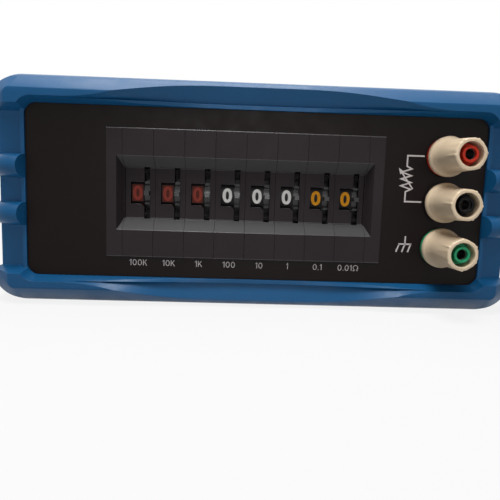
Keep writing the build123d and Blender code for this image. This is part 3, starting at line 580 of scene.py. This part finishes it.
def ring_surface(
    radii: np.ndarray, depths: np.ndarray, place: tuple[float, float], datum: Datum
) -> tuple[np.ndarray, np.ndarray]:
    """A closed surface round an axis along Y: rings of given radii, the last joined to the first.

    A point at the angle a on a ring of radius r is at x = r cos a, z = r sin a from the axis.

    Args:
        radii: The radii in millimetres, one row for each ring, one column for each angle.
        depths: Each ring's Y from the panel's face, in millimetres.
        place: The axis as (x, z) in metres.
        datum: The place of the panel.

    Returns:
        The points in metres and the quads, facing outwards.
    """
    rings, columns = radii.shape
    angle = 2 * np.pi * np.arange(columns) / columns
    x = place[0] + radii * MM * np.cos(angle)
    z = place[1] + radii * MM * np.sin(angle)
    y = np.repeat(datum.panel_y + depths[:, None] * MM, columns, axis=1)
    return np.stack([x, y, z], axis=-1).reshape(-1, 3), ring_faces(rings, columns)


@dataclass(frozen=True)
class Moulding:
    """A copy of a CAD node with merged points and small rounded edges, which stands for the node.

    Sharp edges that run along X and lie farther than outer_mm above or below the node's middle get
    the full radius, the others along X the inner share of it, and the rest the cross share.
    """

    edge_mm: float = 0.25
    inner_share: float = 1.0
    cross_share: float = 1.0
    outer_mm: float = 0.0
    segments: int = 2
    sharp_deg: float = 32.0
    along: float = 0.99

    def build(self, node: str, finish: Finish, edge_finish: Finish | None = None) -> bpy.types.Object:
        """Copies the node's mesh, joins its loose triangles and rounds its sharp edges.

        Args:
            node: The CAD node.
            finish: The copy's finish.
            edge_finish: The finish of the rounded edges, if they have their own; a lighter one paints a
                highlight along them.

        Returns:
            The new piece.
        """
        source = bpy.data.objects[node]
        count = len(source.data.vertices)
        points = np.zeros(count * 3)
        source.data.vertices.foreach_get("co", points)
        corners = np.zeros(len(source.data.loops), int)
        source.data.loops.foreach_get("vertex_index", corners)
        mesh = bpy.data.meshes.new(f"{node}_moulding")
        mesh.from_pydata(points.reshape(-1, 3).tolist(), [], corners.reshape(-1, 3).tolist())
        work = bmesh.new()
        work.from_mesh(mesh)
        bmesh.ops.remove_doubles(work, verts=work.verts, dist=WELD_MM * MM)
        bmesh.ops.dissolve_limit(
            work, angle_limit=math.radians(FLAT_DEG), verts=work.verts, edges=work.edges
        )
        for face in work.faces:
            face.smooth = True
        weight = work.edges.layers.float.new("bevel_weight_edge")
        heights = [vertex.co.z for vertex in work.verts]
        middle = (min(heights) + max(heights)) / 2
        for edge in work.edges:
            run = edge.verts[1].co - edge.verts[0].co
            sharp = len(edge.link_faces) == 2 and edge.calc_face_angle() > math.radians(self.sharp_deg)
            outer = abs(edge.verts[0].co.z - middle) > self.outer_mm * MM
            share = self.cross_share
            if abs(run.x) > self.along * run.length:
                share = 1.0 if outer else self.inner_share
            edge[weight] = share if sharp else 0.0
            edge.smooth = share > 0.0 or not sharp
        work.to_mesh(mesh)
        work.free()
        mesh.materials.append(finish.material())
        piece = bpy.data.objects.new(f"{node}_moulding", mesh)
        bpy.context.scene.collection.objects.link(piece)
        bevel = piece.modifiers.new("edges", "BEVEL")
        bevel.width = self.edge_mm * MM
        bevel.segments = self.segments
        bevel.limit_method = "WEIGHT"
        bevel.harden_normals = True
        bevel.use_clamp_overlap = True
        if edge_finish is not None:
            mesh.materials.append(edge_finish.material())
            bevel.material = 1
        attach(piece, source["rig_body"])
        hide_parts(node)
        LOG.info("%s: %s, stands for %s", piece.name, finish.name, node)
        return piece


def dress_node(node: str, finish: Finish) -> None:
    """Gives a CAD node a finish.

    Args:
        node: The node's name.
        finish: The finish.
    """
    mesh = bpy.data.objects[node].data
    mesh.materials.clear()
    mesh.materials.append(finish.material())
    LOG.info("%s: %s", node, finish.name)


@dataclass
class Housing:
    """The two bumpers, the case shells, both panels and their screws."""

    bumper_edge_mm: float = 0.45

    def dress(self) -> int:
        """Gives each piece its finish, and the bumpers their rounded edges.

        Returns:
            How many nodes were dressed.
        """
        bumpers = ("front_bumper", "rear_bumper")
        for node in bumpers:
            Moulding(self.bumper_edge_mm).build(node, BUMPER_BLUE)
        plain = {
            "upper_case": CASE_PAINT,
            "lower_case": CASE_PAINT,
            "front_panel": PANEL_METAL,
            "panel_film": PANEL_FILM,
            "rear_panel": REAR_PAINT,
            "panel_screws": STEEL,
            "case_inserts": BRASS,
            "case_screws": STEEL,
        }
        for node, finish in plain.items():
            dress_node(node, finish)
        return len(bumpers) + len(plain)


@dataclass
class SwitchBank:
    """The thumbwheel bank: cheeks, eight modules and what is behind them."""

    decades: int = 8
    edge_mm: float = 0.45
    inner_share: float = 0.4
    flange_mm: float = 25.0
    slope_share: float = 0.3
    wheel_edge_mm: float = 0.14
    digit_height_mm: float = 6.2
    digit_width_mm: float = 4.1
    digit_x_mm: float = -1.29
    digit_weight: float = 0.035
    flat_mm: float = 12.6
    field_mm: tuple[float, float, float] = (-3.6, 0.95, 3.55)
    tab_left_mm: float = 1.7
    ink_mm: float = 0.03
    positions: int = 10

    def inks(self) -> tuple[Finish, ...]:
        """The digits' ink of each decade: thousands red, units white, fractions amber."""
        return (INK_RED,) * 3 + (INK_WHITE,) * 3 + (INK_AMBER,) * 2

    def dress(self, datum: Datum) -> int:
        """Dresses the bank's nodes and prints the digits.

        Args:
            datum: The places of the modules.

        Returns:
            How many pieces were dressed or made.
        """
        moulding = Moulding(self.edge_mm, self.inner_share, 0.0, self.flange_mm)
        housings = [f"switch_housing_{i}" for i in range(1, self.decades + 1)]
        for node in ["left_end_cheek", "right_end_cheek"] + housings:
            # the rounded edges take a lighter black, which is painted highlight, and the slopes facing up or
            # down a lighter grey, which is painted sheen
            piece = moulding.build(node, BANK_BLACK, EDGE_HIGHLIGHT_BLACK)
            LOG.info("%s: %d slope faces", piece.name, self.paint_slope_sheen(piece))
        for i, ink in enumerate(self.inks(), start=1):
            wheel = Moulding(self.wheel_edge_mm).build(f"thumbwheel_{i}", WHEEL_BLACK)
            # the tabs take a lighter black, which is painted glints
            glinting = self.paint_tab_glints(wheel, datum.modules_x[i - 1])
            LOG.info("%s: %d worn faces", wheel.name, glinting)
            dress_node(f"switch_board_{i}", BOARD)
            self.digits(i, ink, datum)
            if ink is INK_RED:
                self.field(i, datum)
        inner = {
            "detent_springs": SPRING_STEEL,
            "bank_tie_rods": STEEL,
            "bank_tie_nuts": STEEL,
            "decade_resistors": LACQUER,
            "series_links": TINNED,
        }
        for node, finish in inner.items():
            dress_node(node, finish)
        cheeks = 2
        per_module = 4
        return cheeks + len(inner) + per_module * self.decades

    def paint_slope_sheen(self, piece: bpy.types.Object) -> int:
        """Gives the slopes of the finger recess their own finish: a moulded texture, and a grey lighter and
        more neutral than the bank's black, which is painted sheen.

        Args:
            piece: The moulded copy of a housing or a cheek.

        Returns:
            How many faces get the textured finish with its painted sheen.
        """
        mesh = piece.data
        mesh.materials.append(SLOPE_SHEEN_BLACK.material())
        count = 0
        for face in mesh.polygons:
            normal = face.normal
            # faces turned to the front and up or down take the lighter grey, which is painted sheen
            if normal.y < -self.slope_share and abs(normal.z) > self.slope_share:
                face.material_index = len(mesh.materials) - 1
                count += 1
        return count

    def paint_tab_glints(self, wheel: bpy.types.Object, module_x: float) -> int:
        """Gives the thumb tabs and the ribs between them their own finish: shinier, and twice as light as
        the wheel's black, which is painted glints.

        Args:
            wheel: The wheel's moulded copy.
            module_x: The middle of its module.

        Returns:
            How many faces get the shinier, lighter finish of painted glints.
        """
        mesh = wheel.data
        mesh.materials.append(TAB_GLINT_BLACK.material())
        centres = np.zeros(len(mesh.polygons) * 3)
        mesh.polygons.foreach_get("center", centres)
        # faces right of the digits, on the tabs and ribs, take the lighter black, which is painted glints
        glinting = centres[::3] > module_x + self.tab_left_mm * MM
        mesh.polygons.foreach_set("material_index", glinting.astype(np.int32))
        return int(glinting.sum())

    def field(self, decade: int, datum: Datum) -> None:
        """Colours the ten flats of one wheel, just under its digits.

        Each flat's corners lie in the plane at the flat's distance, turned by whole steps about X.

        Args:
            decade: The wheel's number from the left.
            datum: The places of the modules.
        """
        left, right, half = (v * MM for v in self.field_mm)
        lift = (self.flat_mm + self.ink_mm / 2) * MM
        angle = 2 * np.pi * np.arange(self.positions)[:, None] / self.positions
        x = np.array([[left, right, right, left]]) + 0 * angle
        up = np.array([[-half, -half, half, half]])
        y = -lift * np.cos(angle) + up * np.sin(angle)
        z = lift * np.sin(angle) + up * np.cos(angle)
        centre = np.array([datum.modules_x[decade - 1], datum.wheel_y, datum.panel_z])
        points = np.stack([x, y, z], axis=-1).reshape(-1, 3) + centre
        quads = np.arange(4 * self.positions).reshape(-1, 4)
        body = f"thumbwheel_{decade}"
        new_piece(f"wheel_fields_{decade}", points, quads, FIELD_RED, body, "wheel_black")

    def digits(self, decade: int, ink: Finish, datum: Datum) -> None:
        """Stamps the digits 0 to 9 round one wheel, one on each flat.

        Digit k lies on the plane whose outward normal is the front turned up by k times the step
        angle, so that turning the wheel down by one step brings the next digit to the window.

        Args:
            decade: The wheel's number from the left.
            ink: The digits' ink.
            datum: The places of the modules.
        """
        zero = glyphs("0", self.digit_height_mm * MM, 1.0, self.digit_weight)[0]
        stretch = self.digit_width_mm * MM / (zero[:, 0].max() - zero[:, 0].min())
        lift = (self.flat_mm + self.ink_mm) * MM
        x = datum.modules_x[decade - 1] + self.digit_x_mm * MM
        centre = np.array([x, datum.wheel_y, datum.panel_z])
        across = np.array([1.0, 0.0, 0.0])
        stamps = []
        for k in range(self.positions):
            flat, faces = glyphs(str(k), self.digit_height_mm * MM, stretch, self.digit_weight)
            angle = 2 * math.pi * k / self.positions
            normal = np.array([0.0, -math.cos(angle), math.sin(angle)])
            upward = np.array([0.0, math.sin(angle), math.cos(angle)])
            stamp = centre + lift * normal + flat[:, :1] * across + flat[:, 1:] * upward
            stamps.append((stamp, faces))
        body = f"thumbwheel_{decade}"
        new_piece(f"wheel_digits_{decade}", *join_shapes(stamps), ink, body, "wheel_black")


@dataclass
class PanelPrint:
    """The prints on the front film: the decades' values and two circuit symbols."""

    values: tuple[str, ...] = ("100K", "10K", "1K", "100", "10", "1", "0.1", "0.01Ω")
    cap_height_mm: float = 2.5
    value_z_mm: float = -28.9
    value_x_mm: tuple[float, ...] = (0.2, 0.2, 0.0, 0.15, 0.2, -0.5, -0.35, 0.1)
    line_mm: float = 0.62
    ink_mm: float = 0.02
    symbol_x_mm: float = 61.8
    lead_end_x_mm: float = 68.9
    zigzag_mm: float = 2.1
    zigzag_turns: int = 7
    resistor_top_mm: float = 14.7
    resistor_bottom_mm: float = 4.1
    zigzag_start: float = 0.75
    zigzag_ends: float = 0.5
    arrow_tail_mm: tuple[float, float] = (64.8, 5.3)
    arrow_tip_mm: tuple[float, float] = (58.4, 13.9)
    arrow_head_mm: float = 2.6
    arrow_half_mm: float = 1.0
    arrow_line_mm: float = 0.558
    arrow_layer: float = 2.0
    earth_x_mm: float = 1.4
    earth_top_mm: float = 4.4
    earth_bar_mm: float = 3.35
    earth_foot_mm: float = 6.75
    earth_half_mm: float = 2.5
    earth_end_mm: float = 0.3
    earth_slant_mm: float = 1.2

    def build(self, datum: Datum) -> int:
        """Prints the values under the bank and the symbols beside the terminals.

        Args:
            datum: The places of the panel, modules and terminals.

        Returns:
            How many pieces were made.
        """
        pen = PenAlphabet()
        for i, value in enumerate(self.values):
            flat, faces = pen.word(value, self.cap_height_mm * MM)
            x = datum.modules_x[i] + self.value_x_mm[i] * MM
            self._print(f"value_print_{i + 1}", flat + np.array([x, self.value_z_mm * MM]), faces, datum)
        zigzag, zigzag_faces = ribbon(self.resistor_path(datum), self.line_mm)
        arrow, arrow_faces = self.arrow()
        earth, earth_faces = self.earth(datum)
        symbols = {
            "resistor_symbol": (zigzag, zigzag_faces, 1.0),
            "resistor_arrow": (arrow, arrow_faces, self.arrow_layer),
            "earth_symbol": (earth, earth_faces, 1.0),
        }
        for name, (points, faces, layer) in symbols.items():
            self._print(name, points * MM, faces, datum, layer)
        return len(self.values) + len(symbols)

    def resistor_path(self, datum: Datum) -> np.ndarray:
        """The zigzag between the two upper terminals, as (x, z) in millimetres from the panel's middle.

        The corners swing from side to side by a fixed width while they go down in even steps.

        Args:
            datum: The places of the terminals.

        Returns:
            The path's points.
        """
        tops = [(z - datum.panel_z) / MM for _, z in datum.terminals]
        steps = np.arange(self.zigzag_turns)
        share = (steps + self.zigzag_start) / (self.zigzag_turns + self.zigzag_ends)
        z = self.resistor_top_mm + (self.resistor_bottom_mm - self.resistor_top_mm) * share
        x = self.symbol_x_mm + np.where(steps % 2 == 0, 1, -1) * self.zigzag_mm
        middle = np.stack([x, z], axis=1)
        head = [
            (self.lead_end_x_mm, tops[0]),
            (self.symbol_x_mm, tops[0]),
            (self.symbol_x_mm, self.resistor_top_mm),
        ]
        tail = [
            (self.symbol_x_mm, self.resistor_bottom_mm),
            (self.symbol_x_mm, tops[1]),
            (self.lead_end_x_mm, tops[1]),
        ]
        return np.vstack([head, middle, tail])

    def arrow(self) -> tuple[np.ndarray, list]:
        """The arrow across the zigzag: a line and a triangle at its upper left end, in millimetres.

        Returns:
            The points as (x, z), and the faces.
        """
        tail, tip = np.array(self.arrow_tail_mm), np.array(self.arrow_tip_mm)
        along = (tip - tail) / np.linalg.norm(tip - tail)
        across = np.array([-along[1], along[0]]) * self.arrow_half_mm
        neck = tip - along * self.arrow_head_mm
        line = ribbon(np.vstack([tail, neck]), self.arrow_line_mm)
        head = np.vstack([neck - across, neck + across, tip])
        return join_shapes([line, (head, [[0, 1, 2]])])

    def earth(self, datum: Datum) -> tuple[np.ndarray, list]:
        """The chassis sign: a stem on a bar with three slanting legs, in millimetres.

        Args:
            datum: The places of the terminals.

        Returns:
            The points as (x, z), and the faces.
        """
        x = self.symbol_x_mm + self.earth_x_mm
        top = (datum.terminals[2][1] - datum.panel_z) / MM + self.earth_top_mm
        bar, foot = top - self.earth_bar_mm, top - self.earth_foot_mm
        half = self.earth_half_mm
        reach = half + self.earth_end_mm
        legs = [x + side * half for side in (-1, 0, 1)]
        strokes = [
            [(x, top), (x, bar)],
            [(x - reach, bar), (x + reach, bar)],
            *[[(leg, bar), (leg - self.earth_slant_mm, foot)] for leg in legs],
        ]
        return join_shapes([ribbon(np.array(stroke, float), self.line_mm) for stroke in strokes])

    def _print(
        self, name: str, points: np.ndarray, faces: np.ndarray | list, datum: Datum, layer: float = 1.0
    ) -> None:
        """Lays a flat shape just in front of the film, with its faces turned to the front.

        Args:
            name: The piece's name.
            points: The shape's points as (x, z), from the panel's middle.
            faces: Its faces.
            datum: The place of the panel.
            layer: How many ink layers in front of the film it lies.
        """
        y = np.full((len(points), 1), datum.panel_y - self.ink_mm * MM * layer)
        z = points[:, 1:] + datum.panel_z
        placed = np.hstack([points[:, :1], y, z])
        rows = []
        for row in faces:
            a, b, c = (placed[v] for v in row[:3])
            rows.append(row if np.cross(b - a, c - b)[1] < 0 else row[::-1])
        new_piece(name, placed, rows, INK_GREY, "box", "film_black")


def shade_by_angle(piece: bpy.types.Object) -> None:
    """Shades a piece smoothly, with hard edges where its faces turn by more than the sharp angle.

    Args:
        piece: The piece, whose normals are first made to face outwards.
    """
    work = bmesh.new()
    work.from_mesh(piece.data)
    bmesh.ops.recalc_face_normals(work, faces=work.faces)
    for face in work.faces:
        face.smooth = True
    for edge in work.edges:
        edge.smooth = len(edge.link_faces) == 2 and edge.calc_face_angle() < math.radians(SHARP_DEG)
    work.to_mesh(piece.data)
    work.free()


@dataclass
class ClampCap:
    """A clamp cap: a flange, a cone that turns into six soft flats, and thin ribs between the flats.

    All sizes are in millimetres. Depths are measured forward from the panel's face.
    """

    back: float = 1.65
    flange_end: float = 3.25
    waist_end: float = 4.69
    neck_end: float = 6.45
    rib_start: float = 8.0
    tip: float = 23.6
    flange_r: float = 8.3
    waist_r: float = 7.39
    neck_r: float = 6.9
    rib_start_r: float = 6.64
    tip_r: float = 6.12
    rib_r: float = 6.42
    flat_tip_r: float = 5.95
    flat_start_r: float = 6.8
    rib_crest: float = 0.18
    rib_foot: float = 0.62
    edge_r: float = 0.7
    flange_edge_r: float = 0.3
    mouth_r: float = 4.7
    mouth_edge_r: float = 0.15
    step: float = 13.95
    bore_r: float = 3.55
    seat: float = 2.65
    room_r: float = 7.3
    sides: int = 6
    columns: int = 216
    arc_rows: int = 7
    body_rows: int = 40

    def body(self, depth: np.ndarray, angle: np.ndarray) -> np.ndarray:
        """The outer radius: the smaller of the cone and the flats, then the ribs on top.

        A flat at distance a is at a / cos(p) for the angle p from its middle. A rib's crest keeps its
        radius while the cone narrows under it, so it grows out of the cone towards the tip.

        Args:
            depth: The depths, one row each.
            angle: The angles from a rib's middle, in radians, one column each.

        Returns:
            The radii on the grid.
        """
        cone = np.interp(
            depth,
            [self.back, self.flange_end, self.waist_end, self.neck_end, self.rib_start, self.tip],
            [self.flange_r, self.flange_r, self.waist_r, self.neck_r, self.rib_start_r, self.tip_r],
        )
        pitch = 2 * np.pi / self.sides
        from_rib = np.abs((angle + pitch / 2) % pitch - pitch / 2)
        from_flat = pitch / 2 - from_rib
        distance = np.interp(depth, [self.neck_end, self.tip], [self.flat_start_r, self.flat_tip_r])
        flats = np.where(depth > self.neck_end, distance, np.inf) / np.cos(from_flat)
        low = np.minimum(cone, flats)
        crest = np.maximum(self.rib_r, low)
        share = 1 - rounded_step(from_rib * self.rib_r, self.rib_crest, self.rib_foot)
        return low + (crest - low) * share * (depth > self.neck_end)

    def build(self, lead: Lead, place: tuple[float, float], rib_deg: float, datum: Datum) -> None:
        """Builds one cap in place of its CAD node.

        The rings run up the outside, round the front edge, down the mouth and the bore, and back over
        the washer's room to the flange.

        Args:
            lead: The terminal.
            place: Its axis as (x, z) in metres.
            rib_deg: The angle of one rib, from +X towards +Z.
            datum: The place of the panel.
        """
        angle = (2 * np.pi * np.arange(self.columns) / self.columns - math.radians(rib_deg))[None, :]
        arc = np.linspace(0, np.pi / 2, self.arc_rows)[:, None]
        flange_foot = self.back + self.flange_edge_r * (1 - np.cos(arc))
        flange_rim = self.flange_r - self.flange_edge_r * (1 - np.sin(arc)) + 0 * angle
        side = np.linspace(self.flange_end, self.tip - self.edge_r, self.body_rows)[:, None]
        side_r = self.body(side, angle)
        front = self.tip - self.edge_r * (1 - np.sin(arc))
        front_r = side_r[-1:] - self.edge_r * (1 - np.cos(arc))
        mouth = self.tip - self.mouth_edge_r * (1 - np.cos(arc))
        mouth_r = self.mouth_r + self.mouth_edge_r * (1 - np.sin(arc)) + 0 * angle
        inside = np.array([[self.step, self.step, self.seat, self.seat, self.back]]).T
        inside_r = np.array([[self.mouth_r, self.bore_r, self.bore_r, self.room_r, self.room_r]]).T
        depths = np.vstack([flange_foot, side, front[1:], mouth, inside])
        radii = np.vstack([flange_rim, side_r, front_r[1:], mouth_r, inside_r + 0 * angle])
        points, quads = ring_surface(radii, -depths[:, 0], place, datum)
        colour = lead.value
        cap = new_piece(f"{colour}_fluted_cap", points, quads, CREAM, f"{colour}_cap", "cap_cream")
        shade_by_angle(cap)
        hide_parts(f"{colour}_clamp_cap")


@dataclass
class BaseRing:
    """The coloured insulator between a cap and the panel, turned, with a soft outer edge."""

    bore_r: float = 3.55
    recess_r: float = 5.05
    recess: float = 0.6
    thickness: float = 1.6
    outer_r: float = 8.2
    edge_r: float = 0.35
    spigot_r: float = 4.0
    spigot_end: float = -2.45
    columns: int = 144
    arc_rows: int = 7

    def build(self, lead: Lead, place: tuple[float, float], datum: Datum) -> None:
        """Builds one insulator in place of its CAD node.

        Args:
            lead: The terminal.
            place: Its axis as (x, z) in metres.
            datum: The place of the panel.
        """
        arc = np.linspace(0, np.pi / 2, self.arc_rows)
        edge = self.thickness - self.edge_r * (1 - np.sin(arc))
        edge_r = self.outer_r - self.edge_r * (1 - np.cos(arc))
        back = [self.spigot_end, self.spigot_end, 0, 0]
        back_r = [self.bore_r, self.spigot_r, self.spigot_r, self.outer_r]
        hollow = [self.thickness, self.recess, self.recess]
        hollow_r = [self.recess_r, self.recess_r, self.bore_r]
        grid = np.hstack([back_r, edge_r, hollow_r])[:, None] + np.zeros(self.columns)
        points, quads = ring_surface(grid, -np.hstack([back, edge, hollow]), place, datum)
        slot = f"insulator_{lead.value}"
        ring = new_piece(f"{lead.value}_base_ring", points, quads, lead.finish(), "box", slot)
        shade_by_angle(ring)
        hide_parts(f"{lead.value}_terminal_base")


@dataclass
class Terminals:
    """The three screw terminals with their insulators, posts and caps."""

    sleeve_edge_mm: float = 0.2
    rib_deg: tuple[float, ...] = (5.0, -3.0, -28.0)

    def dress(self, datum: Datum) -> int:
        """Dresses the nodes of each terminal.

        Args:
            datum: The places of the terminals.

        Returns:
            How many nodes were dressed.
        """
        count = 0
        for lead, place, rib_deg in zip(Lead, datum.terminals, self.rib_deg):
            BaseRing().build(lead, place, datum)
            ClampCap().build(lead, place, rib_deg, datum)
            sleeve = Moulding(self.sleeve_edge_mm).build(f"{lead.value}_terminal_sleeve", lead.finish())
            dress_node(f"{lead.value}_terminal_post", DULL_NICKEL)
            dress_node(f"{lead.value}_clamp_washer", NICKEL)
            count += 5
        behind = {
            "terminal_backers": BLACK,
            "terminal_nuts": NICKEL,
            "solder_tags": TINNED,
            "terminal_leads": WIRE_BLACK,
        }
        for node, finish in behind.items():
            dress_node(node, finish)
        return count + len(behind)


@dataclass(frozen=True)
class SoftBox:
    """A square soft box: its name, place, the point it faces, the length of its side and its watts."""

    name: str
    at: tuple[float, float, float]
    aim: tuple[float, float, float]
    size: float
    power: float

    def build(self) -> None:
        """Makes the light and turns it to its aim."""
        data = bpy.data.lights.new(self.name, "AREA")
        data.shape = "SQUARE"
        data.size = self.size
        data.energy = self.power
        light = bpy.data.objects.new(self.name, data)
        light.location = self.at
        light.rotation_mode = "QUATERNION"
        light.rotation_quaternion = (Vector(self.aim) - Vector(self.at)).to_track_quat("-Z", "Y")
        bpy.context.scene.collection.objects.link(light)


@dataclass
class Studio:
    """Floor, lights, world and the camera at the photograph's angle."""

    floor_half: float = 3.0
    lens_mm: float = 37.148
    camera_mm: tuple[float, float, float] = (-10.28, -215.74, 5.67)
    tilt: tuple[float, float, float] = (0.1292, 0.0326, 0.0356)
    world_light: float = 0.07
    floor_shade: float = 0.5
    floor_glow: float = 0.86
    clip_start: float = 0.01
    sensor_mm: float = 36.0
    lamps: tuple[SoftBox, ...] = (
        SoftBox("overhead", (-0.05, 0.20, 0.80), (0.0, -0.02, 0.05), 0.5, 3.3),
        SoftBox("key", (-0.07, -0.27, 0.85), (0.0, -0.05, 0.05), 0.30, 7.0),
        SoftBox("front", (-0.20, -0.60, 0.80), (0.0, -0.05, 0.05), 0.20, 1.35),
        SoftBox("glow", (0.02, -1.15, 0.14), (0.0, -0.05, 0.05), 0.25, 1.45),
    )

    def build(self, datum: Datum) -> None:
        """Makes the floor, the lights, the world and the camera.

        Args:
            datum: The place of the panel.
        """
        self._floor()
        self._world()
        for lamp in self.lamps:
            lamp.build()
        self._camera(datum)

    def _floor(self) -> None:
        """A wide pale floor that looks white to the camera and keeps the object's shadow."""
        h = self.floor_half
        mesh = bpy.data.meshes.new("floor")
        mesh.from_pydata([(-h, -h, 0), (h, -h, 0), (h, h, 0), (-h, h, 0)], [], [(0, 1, 2, 3)])
        floor = bpy.data.objects.new("floor", mesh)
        bpy.context.scene.collection.objects.link(floor)
        material = bpy.data.materials.new("pale_floor")
        material.use_nodes = True
        tree = material.node_tree
        tree.nodes.clear()
        out = tree.nodes.new("ShaderNodeOutputMaterial")
        mix = tree.nodes.new("ShaderNodeMixShader")
        paper = tree.nodes.new("ShaderNodeBsdfDiffuse")
        paper.inputs["Color"].default_value = (self.floor_shade,) * 3 + (1.0,)
        glow = tree.nodes.new("ShaderNodeEmission")
        glow.inputs["Strength"].default_value = 1.0
        share = tree.nodes.new("ShaderNodeMath")
        share.operation = "MULTIPLY"
        share.inputs[1].default_value = self.floor_glow
        tree.links.new(self._background_rays(tree), share.inputs[0])
        tree.links.new(share.outputs[0], mix.inputs["Fac"])
        tree.links.new(paper.outputs[0], mix.inputs[1])
        tree.links.new(glow.outputs[0], mix.inputs[2])
        tree.links.new(mix.outputs[0], out.inputs["Surface"])
        mesh.materials.append(material)

    def _background_rays(self, tree: bpy.types.NodeTree) -> bpy.types.NodeSocket:
        """A socket that is 1 for the rays that show the background: to the camera, mirrored, let through.

        Args:
            tree: The nodes that need it.

        Returns:
            The largest of the three ray kinds' sockets.
        """
        path = tree.nodes.new("ShaderNodeLightPath")
        largest = path.outputs["Is Camera Ray"]
        for kind in ("Is Glossy Ray", "Is Transmission Ray"):
            either = tree.nodes.new("ShaderNodeMath")
            either.operation = "MAXIMUM"
            tree.links.new(largest, either.inputs[0])
            tree.links.new(path.outputs[kind], either.inputs[1])
            largest = either.outputs[0]
        return largest

    def _world(self) -> None:
        """A soft grey world that the camera sees as white."""
        world = bpy.data.worlds.new("studio")
        bpy.context.scene.world = world
        world.use_nodes = True
        tree = world.node_tree
        back = tree.nodes["Background"]
        span = tree.nodes.new("ShaderNodeMapRange")
        span.inputs["To Min"].default_value = self.world_light
        span.inputs["To Max"].default_value = 1.0
        tree.links.new(self._background_rays(tree), span.inputs["Value"])
        tree.links.new(span.outputs["Result"], back.inputs["Strength"])
        back.inputs["Color"].default_value = (1, 1, 1, 1)

    def _camera(self, datum: Datum) -> None:
        """The camera: turned about X, then about Z, then about Y, as the photograph was taken.

        Args:
            datum: The place of the panel.
        """
        rx, ry, rz = self.tilt
        turn = (
            Matrix.Rotation(ry, 3, "Y")
            @ Matrix.Rotation(rx, 3, "X")
            @ Matrix.Rotation(rz, 3, "Z")
        )
        right, forward, up = turn[0], turn[1], turn[2]
        frame = Matrix((right, up, -Vector(forward))).transposed().to_4x4()
        x, y, z = self.camera_mm
        frame.translation = Vector((x * MM, datum.panel_y + y * MM, datum.panel_z + z * MM))
        data = bpy.data.cameras.new("camera")
        data.lens = self.lens_mm
        data.sensor_width = self.sensor_mm
        data.clip_start = self.clip_start
        camera = bpy.data.objects.new("camera", data)
        camera.matrix_world = frame
        bpy.context.scene.collection.objects.link(camera)
        bpy.context.scene.camera = camera


def main() -> None:
    """Loads the frame, builds each sub-assembly's looks in order and reports each."""
    logging.basicConfig(level=logging.INFO, format="%(name)s: %(message)s")
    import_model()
    bpy.context.scene.view_settings.view_transform = "Standard"
    bank = SwitchBank()
    datum = Datum.read(bank.decades)
    LOG.info("housing: %d nodes", Housing().dress())
    LOG.info("switch bank: %d pieces", bank.dress(datum))
    LOG.info("panel print: %d pieces", PanelPrint().build(datum))
    LOG.info("terminals: %d nodes", Terminals().dress(datum))
    Studio().build(datum)


if __name__ == "__main__":
    main()
